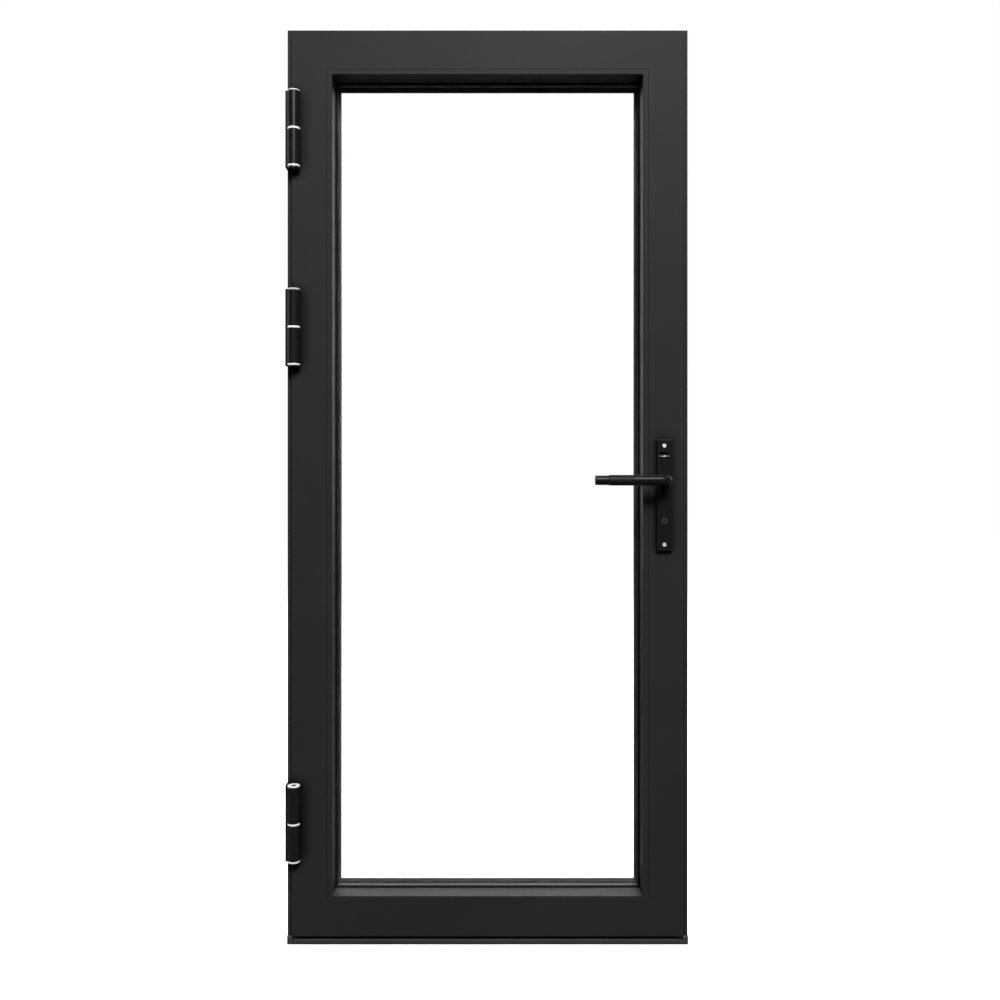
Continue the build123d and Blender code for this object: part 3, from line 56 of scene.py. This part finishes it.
# Camera: straight at the door from the room, at about half its height
CAMERA_DISTANCE = 2.281
CAMERA_HEIGHT = 1.050
FOCAL_PIXELS = 997.0
IMAGE_PIXELS = 1000.0
SENSOR = 36.0
SHIFT_X = 0.0124
SHIFT_Y = -0.0131

# Lamps: one high in front of the door, one behind it and one on each side in its own plane
KEY_PLACE = (0.8, -6.2, 6.3)
KEY_SIZE = 2.6
KEY_POWER = 930.0
BACK_PLACE = (0.0, 6.4, 4.0)
BACK_SIZE = 2.6
BACK_POWER = 150.0
SIDE_DISTANCE = 6.5
SIDE_BEHIND = 0.33
SIDE_HEIGHT = 2.6
SIDE_SIZE = 0.8
SIDE_POWER = 220.0

# Room: its plain light, and how bright it is in reflections, from dim in front to white behind
ROOM_LIGHT = 0.08
FRONT_GLOSS = 0.06
BACK_GLOSS = 1.0
BACK_STARTS = 0.0
BACK_FULL = 0.6
PANE_LOSS = 1.18

# Floor
FLOOR_GLOW = 0.94
FLOOR_COLOUR = (0.85, 0.85, 0.85)
FLOOR_BOUNCE = (0.08, 0.08, 0.08)
FLOOR_SIZE = 60.0

# A count of bounces above this means at least one
ANY_BOUNCE = 0.5

# Painted shade in corners, a darker colour beside neighbouring pieces: an axis, a side of a limit along it,
# and how far from a neighbour
LEAF_PAINTED_SHADE = ("Y", "LESS_THAN", -0.040, 0.030)
BEAD_PAINTED_SHADE = ("Z", "GREATER_THAN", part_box("bead_bottom")[1].z, 0.030)
FRAME_PAINTED_SHADE = ("Z", "LESS_THAN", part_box("sash_top_rail")[1].z, 0.007)
PAINTED_SHADE_POWER = 2.6
PAINTED_SHADE_SAMPLES = 8

# Noise in the finishes: the middle of its range, and how fine it is
NOISE_LOW = 0.3
NOISE_HIGH = 0.7
CLOUD_DETAIL = 2.0
GRAIN_DETAIL = 4.0
GRAIN_ROUGHNESS = 0.6

# Glass, with a wave too faint to see but in reflections
GLASS_IOR = 1.45
GLASS_WAVE = 2.5
GLASS_WAVE_DETAIL = 1.0
GLASS_WAVE_HEIGHT = 0.00002
GLASS_WAVE_STRENGTH = 0.2

# Knurled grips
KNURL_ROWS = 44
KNURL_TURNS = 60
KNURL_DEPTH = 0.00028
KNURL_STEPS = 4
GRIP_WALL = 0.0047
GRIP_RIM = 0.0024
GRIP_EDGE = 0.0004

# Painted highlight: a bright steel wire along the lower lip of the snib's pocket, standing in for the light
# on that lip
SNIB_WIRE_RADIUS = 0.0010
SNIB_WIRE_LENGTH = 0.0238
SNIB_WIRE_IN = 0.0005
SNIB_WIRE_BELOW = 0.0008
SNIB_WIRE_SIDES = 16

# Screws of the room-side plate
SCREW_SIDES = 48
SCREW_SHANK = 0.0025
SCREW_HEAD = 0.0024
SCREW_CHAMFER = 0.0006
SCREW_SOCKET = 0.0015
SCREW_SOCKET_HALF = 0.0020

# Black collars round the lower part of the hinges' white caps
COLLAR_HEIGHT = 0.0022
COLLAR_PROUD = 0.00004
CAP_SIDES = 64

# Grey plugs in the dishes of the caps
PLUG_RADIUS = 0.0062
PLUG_THICKNESS = 0.0006
PLUG_SUNK = 0.0010

# Blank face of the key plug on the room side
BLANK_RADIUS = 0.0040
BLANK_THICKNESS = 0.00015


# Nodes that the finishes share

def nodes_of(name):
    """A new material, its node tree and its Principled shader."""
    material = bpy.data.materials.new(name)
    material.use_nodes = True
    tree = material.node_tree
    shader = next(node for node in tree.nodes if node.type == "BSDF_PRINCIPLED")
    return material, tree, shader


def maths(tree, operation, first, second):
    """A maths node over two values, each a socket or a number."""
    node = tree.nodes.new("ShaderNodeMath")
    node.operation = operation
    for place, value in enumerate((first, second)):
        if isinstance(value, (int, float)):
            node.inputs[place].default_value = value
        else:
            tree.links.new(value, node.inputs[place])
    return node.outputs[0]


def noise(tree, scale, detail, roughness=0.5, stretch=(1.0, 1.0, 1.0)):
    """Noise over the object's own coordinates, as a value from 0 to 1."""
    place = tree.nodes.new("ShaderNodeTexCoord")
    mapping = tree.nodes.new("ShaderNodeMapping")
    mapping.inputs["Scale"].default_value = stretch
    pattern = tree.nodes.new("ShaderNodeTexNoise")
    pattern.inputs["Scale"].default_value = scale
    pattern.inputs["Detail"].default_value = detail
    pattern.inputs["Roughness"].default_value = roughness
    tree.links.new(place.outputs["Object"], mapping.inputs["Vector"])
    tree.links.new(mapping.outputs["Vector"], pattern.inputs["Vector"])
    return pattern.outputs["Fac"]


def spread(tree, value, low, high):
    """Stretches the middle of a noise value to run from low to high."""
    node = tree.nodes.new("ShaderNodeMapRange")
    node.inputs["From Min"].default_value = NOISE_LOW
    node.inputs["From Max"].default_value = NOISE_HIGH
    node.inputs["To Min"].default_value = low
    node.inputs["To Max"].default_value = high
    tree.links.new(value, node.inputs["Value"])
    return node.outputs["Result"]


def tinted(tree, colour, factor):
    """A colour made lighter or darker by a factor."""
    node = tree.nodes.new("ShaderNodeVectorMath")
    node.operation = "SCALE"
    node.inputs[0].default_value = colour
    tree.links.new(factor, node.inputs["Scale"])
    return node.outputs["Vector"]


def bump(tree, shader, height, distance, strength=1.0):
    """Small heights on a shader's surface."""
    node = tree.nodes.new("ShaderNodeBump")
    node.inputs["Distance"].default_value = distance
    node.inputs["Strength"].default_value = strength
    tree.links.new(height, node.inputs["Height"])
    tree.links.new(node.outputs["Normal"], shader.inputs["Normal"])


def painted_corner_shade(tree, axis, operation, limit, reach):
    """Painted shade: 1 on open surface, falling beside a neighbouring piece, on one side of a limit along an
    axis.
    """
    node = tree.nodes.new("ShaderNodeAmbientOcclusion")
    node.samples = PAINTED_SHADE_SAMPLES
    node.inputs["Distance"].default_value = reach
    shade = maths(tree, "SUBTRACT", 1.0, maths(tree, "POWER", node.outputs["AO"], PAINTED_SHADE_POWER))
    place = tree.nodes.new("ShaderNodeTexCoord")
    parts = tree.nodes.new("ShaderNodeSeparateXYZ")
    tree.links.new(place.outputs["Object"], parts.inputs[0])
    within = maths(tree, operation, parts.outputs[axis], limit)
    return maths(tree, "SUBTRACT", 1.0, maths(tree, "MULTIPLY", within, shade))


def finish_of(
    name,
    colour,
    roughness,
    grain,
    metallic=0.0,
    specular=0.5,
    facing=1.0,
    grain_height=0.00004,
    cloud=6.0,
    cloud_change=0.06,
    roughness_change=0.05,
    stretch=(1.0, 1.0, 1.0),
    # corners: where painted shade darkens the colour beside neighbouring pieces
    corners=None,
):
    """A finish with a fine grain and a faint random change of colour, darkened as painted shade beside
    neighbouring pieces where corners are given; facing scales the gloss seen head on.
    """
    material, tree, shader = nodes_of(name)
    tone_and_painted_shade = spread(tree, noise(tree, cloud, CLOUD_DETAIL), 1 - cloud_change, 1 + cloud_change)
    if corners:
        # Painted shade: darker colour beside neighbouring pieces, in place of their shadow
        tone_and_painted_shade = maths(tree, "MULTIPLY", tone_and_painted_shade, painted_corner_shade(tree, *corners))
    tree.links.new(tinted(tree, colour, tone_and_painted_shade), shader.inputs["Base Color"])
    fine = noise(tree, grain, GRAIN_DETAIL, GRAIN_ROUGHNESS, stretch)
    rough = spread(tree, fine, roughness - roughness_change, roughness + roughness_change)
    tree.links.new(rough, shader.inputs["Roughness"])
    shader.inputs["Metallic"].default_value = metallic
    shader.inputs["Specular IOR Level"].default_value = specular
    shader.inputs["Specular Tint"].default_value = (facing, facing, facing, 1)
    bump(tree, shader, fine, grain_height)
    return material


# Finishes, one for each of the record's material slots

def powder_coat(name, colour, corners=None):
    """Fine-texture powder coat: a dense soft grain, matt head on and with a sheen at a low angle."""
    return finish_of(
        name,
        colour,
        roughness=0.52,
        grain=1400.0,
        facing=0.12,
        grain_height=0.00003,
        # corners: where the coat gets painted shade beside neighbouring pieces
        corners=corners,
    )


def frame_coat():
    """Black powder coat on the jambs and the head, with painted shade just beside the leaf and other
    neighbouring pieces, below the top of the leaf.
    """
    return powder_coat("black_frame_coat", (0.0192, 0.0192, 0.0200), FRAME_PAINTED_SHADE)


def leaf_coat():
    """Black powder coat on the leaf's profiles, with painted shade on their room-side faces beside the
    hinges, the plate and other neighbouring pieces.
    """
    return powder_coat("black_leaf_coat", (0.0194, 0.0194, 0.0203), LEAF_PAINTED_SHADE)


def bead_coat():
    """The leaf's coat on its glazing beads, with painted shade beside the glass and other neighbouring pieces
    on all but the bottom bead.
    """
    return powder_coat("black_bead_coat", (0.0194, 0.0194, 0.0203), BEAD_PAINTED_SHADE)


def threshold_coat():
    """A slightly paler powder coat on the threshold."""
    return powder_coat("black_threshold_coat", (0.036, 0.0363, 0.0372))


def hinge_coat():
    """Smooth satin black on the hinges' leaves and knuckles."""
    return finish_of(
        "satin_black_hinge",
        (0.0072, 0.0072, 0.0075),
        roughness=0.28,
        grain=700.0,
        facing=0.45,
        grain_height=0.00001,
        roughness_change=0.03,
    )


def hinge_nylon():
    """White nylon of the hinges' caps, washers and rings."""
    return finish_of(
        "white_nylon",
        (0.84, 0.84, 0.83),
        roughness=0.42,
        grain=1800.0,
        grain_height=0.00002,
        cloud=60.0,
        cloud_change=0.02,
    )


def hinge_steel():
    """Zinc plated steel of the hinges' pins and adjusters, with turning marks."""
    return finish_of(
        "zinc_plated_steel",
        (0.42, 0.42, 0.43),
        roughness=0.32,
        grain=600.0,
        metallic=1.0,
        grain_height=0.00001,
        stretch=(1.0, 1.0, 12.0),
    )


def end_block():
    """Moulded black plastic of the threshold's end blocks."""
    return finish_of("moulded_end_block", (0.030, 0.030, 0.032), roughness=0.5, grain=1200.0)


def clear_glass():
    """Clear float glass that lets the lamps through."""
    material, tree, shader = nodes_of("clear_glass")
    shader.inputs["Base Color"].default_value = (1, 1, 1, 1)
    shader.inputs["Transmission Weight"].default_value = 1.0
    shader.inputs["IOR"].default_value = GLASS_IOR
    shader.inputs["Roughness"].default_value = 0.0
    wave = noise(tree, GLASS_WAVE, GLASS_WAVE_DETAIL)
    bump(tree, shader, wave, GLASS_WAVE_HEIGHT, GLASS_WAVE_STRENGTH)
    path = tree.nodes.new("ShaderNodeLightPath")
    through = tree.nodes.new("ShaderNodeBsdfTransparent")
    mix = tree.nodes.new("ShaderNodeMixShader")
    output = next(node for node in tree.nodes if node.type == "OUTPUT_MATERIAL")
    tree.links.new(path.outputs["Is Shadow Ray"], mix.inputs["Fac"])
    tree.links.new(shader.outputs["BSDF"], mix.inputs[1])
    tree.links.new(through.outputs["BSDF"], mix.inputs[2])
    tree.links.new(mix.outputs["Shader"], output.inputs["Surface"])
    return material


def spacer():
    """Smooth black strip between the panes."""
    return finish_of(
        "black_spacer",
        (0.030, 0.030, 0.032),
        roughness=0.30,
        grain=900.0,
        specular=0.6,
        grain_height=0.000004,
    )


def gasket():
    """Black rubber of the gaskets and seals."""
    return finish_of(
        "black_rubber",
        (0.0040, 0.0040, 0.0043),
        roughness=0.70,
        grain=1500.0,
        specular=0.2,
        facing=0.3,
        grain_height=0.00005,
    )


def packer():
    """Grey moulded plastic of the setting blocks."""
    return finish_of("moulded_packer", (0.25, 0.25, 0.27), roughness=0.5, grain=700.0)


def cleat():
    """Bare aluminium with the long marks of its extrusion."""
    return finish_of(
        "mill_finish_aluminium",
        (0.60, 0.60, 0.61),
        roughness=0.36,
        grain=500.0,
        metallic=1.0,
        grain_height=0.00002,
        stretch=(1.0, 1.0, 0.05),
    )


def handle_coat():
    """Satin black on the levers and their tips, the backplates and the snib."""
    return finish_of(
        "satin_black_handle",
        (0.0066, 0.0066, 0.0069),
        roughness=0.34,
        grain=1600.0,
        facing=0.25,
        grain_height=0.000012,
        roughness_change=0.03,
    )


def grip():
    """Matt black on the grip sleeves."""
    return finish_of(
        "matt_black_grip",
        (0.0080, 0.0080, 0.0083),
        roughness=0.42,
        grain=2200.0,
        facing=0.25,
        grain_height=0.00002,
    )


def screw():
    """Bright steel of the screws."""
    return finish_of(
        "bright_steel_screw",
        (0.90, 0.90, 0.89),
        roughness=0.48,
        grain=2500.0,
        metallic=1.0,
        grain_height=0.000006,
        roughness_change=0.06,
    )


def lock_steel():
    """Zinc plated steel of the lock, the spindle and the strike plate."""
    return finish_of(
        "zinc_plated_lock_steel",
        (0.48, 0.48, 0.49),
        roughness=0.34,
        grain=900.0,
        metallic=1.0,
        grain_height=0.00001,
        roughness_change=0.07,
    )


def cylinder():
    """Dark nickel of the key cylinder and its plugs."""
    return finish_of(
        "black_nickel",
        (0.16, 0.16, 0.162),
        roughness=0.36,
        grain=1800.0,
        metallic=1.0,
        grain_height=0.000008,
    )


def finishes():
    """The finish of each of the record's material slots."""
    return {
        "frame_coat": frame_coat(),
        "leaf_coat": leaf_coat(),
        "bead_coat": bead_coat(),
        "threshold_coat": threshold_coat(),
        "hinge_coat": hinge_coat(),
        "hinge_nylon": hinge_nylon(),
        "hinge_steel": hinge_steel(),
        "end_block": end_block(),
        "glass": clear_glass(),
        "spacer": spacer(),
        "gasket": gasket(),
        "packer": packer(),
        "cleat": cleat(),
        "handle_coat": handle_coat(),
        "grip": grip(),
        "screw": screw(),
        "lock_steel": lock_steel(),
        "cylinder": cylinder(),
    }


def dress_frame(looks):
    """Gives each CAD node the finish of its slot."""
    for part in frame["record"]["subparts"]:
        piece = frame["nodes"][part["node"]]
        piece.data.materials.clear()
        piece.data.materials.append(looks[part["material_slot"]])


# Shapes that the pieces share

def new_piece(name, points, faces, body, slot, looks, smooth=True):
    """A new mesh that moves with a body of the part."""
    shape = bmesh.new()
    corners = [shape.verts.new(point) for point in points]
    for face in faces:
        shape.faces.new([corners[number] for number in face])
    bmesh.ops.recalc_face_normals(shape, faces=shape.faces)
    mesh = bpy.data.meshes.new(name)
    shape.to_mesh(mesh)
    shape.free()
    mesh.materials.append(looks[slot])
    if smooth:
        mesh.shade_smooth()
    piece = bpy.data.objects.new(name, mesh)
    bpy.context.scene.collection.objects.link(piece)
    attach(piece, body)
    return piece


def rings(axis, centre, rows, sides):
    """Rings of points round an axis: each row is a place along it and a reach, or a function of the angle."""
    points = []
    for along, reach in rows:
        for turn in range(sides):
            angle = 2 * math.pi * turn / sides
            length = reach(angle) if callable(reach) else reach
            point = list(centre)
            point[axis] = along
            point[(axis + 1) % 3] += length * math.cos(angle)
            point[(axis + 2) % 3] += length * math.sin(angle)
            points.append(point)
    return points


def ring_faces(count, sides, closed=False):
    """The faces between neighbouring rings; closed joins the last ring to the first."""
    faces = []
    for row in range(count if closed else count - 1):
        first = row * sides
        second = (row + 1) % count * sides
        for turn in range(sides):
            after = (turn + 1) % sides
            faces.append((first + turn, second + turn, second + after, first + after))
    return faces


def turned(axis, centre, rows, sides):
    """The points and faces of a solid turned round an axis, with flat ends."""
    faces = ring_faces(len(rows), sides)
    faces.append(tuple(range(sides)))
    faces.append(tuple(range((len(rows) - 1) * sides, len(rows) * sides)))
    return rings(axis, centre, rows, sides), faces


def hexagon(half):
    """How far a hexagon reaches at each angle."""
    return lambda angle: half / math.cos(angle % (math.pi / 3) - math.pi / 6)


def knurl(outer, across):
    """How far a diamond knurl reaches at each angle of one ring."""
    def reach(angle):
        around = KNURL_TURNS * angle / (2 * math.pi)
        ridge = abs(math.sin(math.pi * (around + across))) * abs(math.sin(math.pi * (around - across)))
        return outer - KNURL_DEPTH * (1 - math.sqrt(ridge))
    return reach


# Pieces

def knurled_grip(name, node, looks):
    """A sleeve along X with a fine diamond knurl between two plain rims."""
    low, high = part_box(node)
    outer = (high.z - low.z) / 2
    bore = outer - GRIP_WALL
    steps = KNURL_ROWS * KNURL_STEPS
    start = low.x + GRIP_RIM
    length = high.x - low.x - 2 * GRIP_RIM
    end = start + length
    near_rim = [
        (low.x, bore),
        (low.x, outer - GRIP_EDGE),
        (low.x + GRIP_EDGE, outer),
        (start - GRIP_EDGE / 2, outer),
    ]
    knurled = [
        (start + length * step / steps, knurl(outer, step / KNURL_STEPS))
        for step in range(steps + 1)
    ]
    far_rim = [
        (end + GRIP_EDGE / 2, outer),
        (high.x - GRIP_EDGE, outer),
        (high.x, outer - GRIP_EDGE),
        (high.x, bore),
    ]
    rows = near_rim + knurled + far_rim
    points = rings(ALONG_X, (low + high) / 2, rows, KNURL_TURNS * KNURL_STEPS)
    faces = ring_faces(len(rows), KNURL_TURNS * KNURL_STEPS, closed=True)
    piece = new_piece(name, points, faces, "handle", "grip", looks)
    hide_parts(node)


def socket_screws(looks):
    """The two screws of the room-side plate, with hexagon sockets."""
    low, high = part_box("backplate_bolts")
    head = (high.x - low.x) / 2
    seat = low.y + SCREW_HEAD
    socket = hexagon(SCREW_SOCKET_HALF)
    rows = [
        (high.y, SCREW_SHANK),
        (seat, SCREW_SHANK),
        (seat, head),
        (low.y + SCREW_CHAMFER, head),
        (low.y, head - SCREW_CHAMFER),
        (low.y, socket),
        (low.y + SCREW_SOCKET, socket),
    ]
    points = []
    faces = []
    for height in (low.z + head, high.z - head):
        centre = (low.x + head, 0, height)
        screw_points, screw_faces = turned(ALONG_Y, centre, rows, SCREW_SIDES)
        faces += [tuple(len(points) + number for number in face) for face in screw_faces]
        points += screw_points
    piece = new_piece("socket_screws", points, faces, "leaf", "screw", looks, smooth=False)
    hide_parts("backplate_bolts")


def cap_collar(place, looks):
    """The black edge of an upper knuckle, which hides the lower part of its white cap."""
    low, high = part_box("hinge_top_caps")
    inside = (high.y - low.y) / 2 - COLLAR_PROUD
    outside = inside + 2 * COLLAR_PROUD
    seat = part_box(f"hinge_sash_leaf_{place}")[1].z
    edge = seat + COLLAR_HEIGHT
    rows = [(seat, inside), (seat, outside), (edge, outside), (edge, inside)]
    points = rings(ALONG_Z, (low + high) / 2, rows, CAP_SIDES)
    faces = ring_faces(len(rows), CAP_SIDES, closed=True)
    new_piece(f"cap_collar_{place}", points, faces, "leaf", "hinge_coat", looks)


def cap_plug(place, looks):
    """A grey plug in the dish of a hinge's white cap."""
    low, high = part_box("hinge_top_caps")
    cap = high.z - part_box("hinge_sash_leaf_top")[1].z
    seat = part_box(f"hinge_sash_leaf_{place}")[1].z
    foot = seat + cap - PLUG_SUNK
    rows = [(foot, PLUG_RADIUS), (foot + PLUG_THICKNESS, PLUG_RADIUS)]
    points, faces = turned(ALONG_Z, (low + high) / 2, rows, CAP_SIDES)
    new_piece(f"cap_plug_{place}", points, faces, "leaf", "hinge_steel", looks, smooth=False)


def plug_face(looks):
    """The black blank face of the key plug on the room side."""
    low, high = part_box("key_plugs")
    rows = [(low.y - BLANK_THICKNESS, BLANK_RADIUS), (low.y, BLANK_RADIUS)]
    points, faces = turned(ALONG_Y, (low + high) / 2, rows, SCREW_SIDES)
    new_piece("key_plug_blank", points, faces, "key", "handle_coat", looks, smooth=False)


def snib_highlight_wire(looks):
    """A bright steel wire along the lower lip of the snib's pocket, a painted highlight in place of the light
    on that lip.
    """
    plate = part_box("inside_backplate")[0].y
    button_low, button_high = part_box("snib_button")
    right = button_high.x
    centre = (0, plate + SNIB_WIRE_IN, button_low.z - SNIB_WIRE_BELOW)
    rows = [(right - SNIB_WIRE_LENGTH, SNIB_WIRE_RADIUS), (right, SNIB_WIRE_RADIUS)]
    points, faces = turned(ALONG_X, centre, rows, SNIB_WIRE_SIDES)
    new_piece("snib_highlight_wire", points, faces, "leaf", "screw", looks)


# Floor, room, lamps and camera

def seen_directly(tree):
    """1 for what the camera sees, also through the panes, and 0 for what the door's surfaces see."""
    path = tree.nodes.new("ShaderNodeLightPath")
    seen = maths(tree, "MAXIMUM", path.outputs["Is Camera Ray"], path.outputs["Is Transmission Ray"])
    bounced = maths(tree, "ADD", path.outputs["Glossy Depth"], path.outputs["Diffuse Depth"])
    return maths(tree, "MULTIPLY", seen, maths(tree, "LESS_THAN", bounced, ANY_BOUNCE))


def through_panes(tree):
    """Makes up for the light that the panes hold back: 1, or a little more for a ray through glass."""
    path = tree.nodes.new("ShaderNodeLightPath")
    extra = maths(tree, "MULTIPLY", path.outputs["Is Transmission Ray"], PANE_LOSS - 1)
    return maths(tree, "ADD", extra, 1.0)


def floor_material():
    """A plain pale floor: white to the camera with the door's shadow kept, and a weak bounce on the door."""
    material = bpy.data.materials.new("pale_floor")
    material.use_nodes = True
    tree = material.node_tree
    tree.nodes.clear()
    white = tree.nodes.new("ShaderNodeBsdfDiffuse")
    white.inputs["Color"].default_value = (*FLOOR_COLOUR, 1)
    glow = tree.nodes.new("ShaderNodeEmission")
    bright = tree.nodes.new("ShaderNodeAddShader")
    dull = tree.nodes.new("ShaderNodeBsdfDiffuse")
    dull.inputs["Color"].default_value = (*FLOOR_BOUNCE, 1)
    mix = tree.nodes.new("ShaderNodeMixShader")
    output = tree.nodes.new("ShaderNodeOutputMaterial")
    tree.links.new(maths(tree, "MULTIPLY", through_panes(tree), FLOOR_GLOW), glow.inputs["Strength"])
    tree.links.new(white.outputs[0], bright.inputs[0])
    tree.links.new(glow.outputs[0], bright.inputs[1])
    tree.links.new(seen_directly(tree), mix.inputs["Fac"])
    tree.links.new(dull.outputs[0], mix.inputs[1])
    tree.links.new(bright.outputs[0], mix.inputs[2])
    tree.links.new(mix.outputs[0], output.inputs["Surface"])
    return material


def add_floor():
    """A large plain floor under the door."""
    half = FLOOR_SIZE / 2
    mesh = bpy.data.meshes.new("floor")
    corners = [(-half, -half, 0), (half, -half, 0), (half, half, 0), (-half, half, 0)]
    mesh.from_pydata(corners, [], [(0, 1, 2, 3)])
    mesh.materials.append(floor_material())
    floor = bpy.data.objects.new("floor", mesh)
    bpy.context.scene.collection.objects.link(floor)


def add_world():
    """White to the camera, a weak plain light on the door, in reflections dim in front and white behind."""
    world = bpy.data.worlds.new("studio")
    bpy.context.scene.world = world
    world.use_nodes = True
    tree = world.node_tree
    tree.nodes.clear()
    path = tree.nodes.new("ShaderNodeLightPath")
    direction = tree.nodes.new("ShaderNodeTexCoord")
    parts = tree.nodes.new("ShaderNodeSeparateXYZ")
    behind = tree.nodes.new("ShaderNodeMapRange")
    behind.interpolation_type = "SMOOTHSTEP"
    behind.inputs["From Min"].default_value = BACK_STARTS
    behind.inputs["From Max"].default_value = BACK_FULL
    behind.inputs["To Min"].default_value = FRONT_GLOSS
    behind.inputs["To Max"].default_value = BACK_GLOSS
    bounced = tree.nodes.new("ShaderNodeMix")
    bounced.data_type = "FLOAT"
    bounced.inputs["A"].default_value = ROOM_LIGHT
    strength = tree.nodes.new("ShaderNodeMix")
    strength.data_type = "FLOAT"
    background = tree.nodes.new("ShaderNodeBackground")
    background.inputs["Color"].default_value = (1, 1, 1, 1)
    output = tree.nodes.new("ShaderNodeOutputWorld")
    glossy = maths(tree, "GREATER_THAN", path.outputs["Glossy Depth"], ANY_BOUNCE)
    tree.links.new(direction.outputs["Generated"], parts.inputs[0])
    tree.links.new(parts.outputs["Y"], behind.inputs["Value"])
    tree.links.new(glossy, bounced.inputs["Factor"])
    tree.links.new(behind.outputs["Result"], bounced.inputs["B"])
    tree.links.new(seen_directly(tree), strength.inputs["Factor"])
    tree.links.new(bounced.outputs["Result"], strength.inputs["A"])
    tree.links.new(through_panes(tree), strength.inputs["B"])
    tree.links.new(strength.outputs["Result"], background.inputs["Strength"])
    tree.links.new(background.outputs[0], output.inputs["Surface"])


def add_lamp(name, place, size, power, glossy=True):
    """A square flat lamp that faces the door's middle; one that isn't glossy leaves no highlight."""
    lamp = bpy.data.lights.new(name, "AREA")
    lamp.shape = "SQUARE"
    lamp.size = size
    lamp.energy = power
    holder = bpy.data.objects.new(name, lamp)
    holder.location = place
    aim = Vector((0, 0, CAMERA_HEIGHT)) - holder.location
    holder.rotation_euler = aim.to_track_quat("-Z", "Y").to_euler()
    holder.visible_camera = False
    holder.visible_transmission = False
    holder.visible_glossy = glossy
    bpy.context.scene.collection.objects.link(holder)


def add_camera():
    """A level camera in front of the leaf's room face."""
    camera = bpy.data.cameras.new("camera")
    camera.sensor_width = SENSOR
    camera.lens = SENSOR * FOCAL_PIXELS / IMAGE_PIXELS
    camera.shift_x = SHIFT_X
    camera.shift_y = SHIFT_Y
    view = bpy.data.objects.new("camera", camera)
    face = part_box("sash_lock_stile")[0].y
    view.location = (0, face - CAMERA_DISTANCE, CAMERA_HEIGHT)
    view.rotation_euler = (math.pi / 2, 0, 0)
    bpy.context.scene.collection.objects.link(view)
    bpy.context.scene.camera = view


bpy.context.scene.view_settings.view_transform = "Standard"
looks = finishes()
dress_frame(looks)
knurled_grip("inside_knurled_grip", "inside_grip", looks)
knurled_grip("outside_knurled_grip", "outside_grip", looks)
socket_screws(looks)
for place in ("top", "middle", "bottom"):
    cap_collar(place, looks)
    cap_plug(place, looks)
plug_face(looks)
snib_highlight_wire(looks)
add_floor()
add_world()
add_lamp("key_lamp", KEY_PLACE, KEY_SIZE, KEY_POWER)
add_lamp("back_lamp", BACK_PLACE, BACK_SIZE, BACK_POWER)
for name, side in (("left_lamp", -SIDE_DISTANCE), ("right_lamp", SIDE_DISTANCE)):
    add_lamp(name, (side, SIDE_BEHIND, SIDE_HEIGHT), SIDE_SIZE, SIDE_POWER, glossy=False)
add_camera()
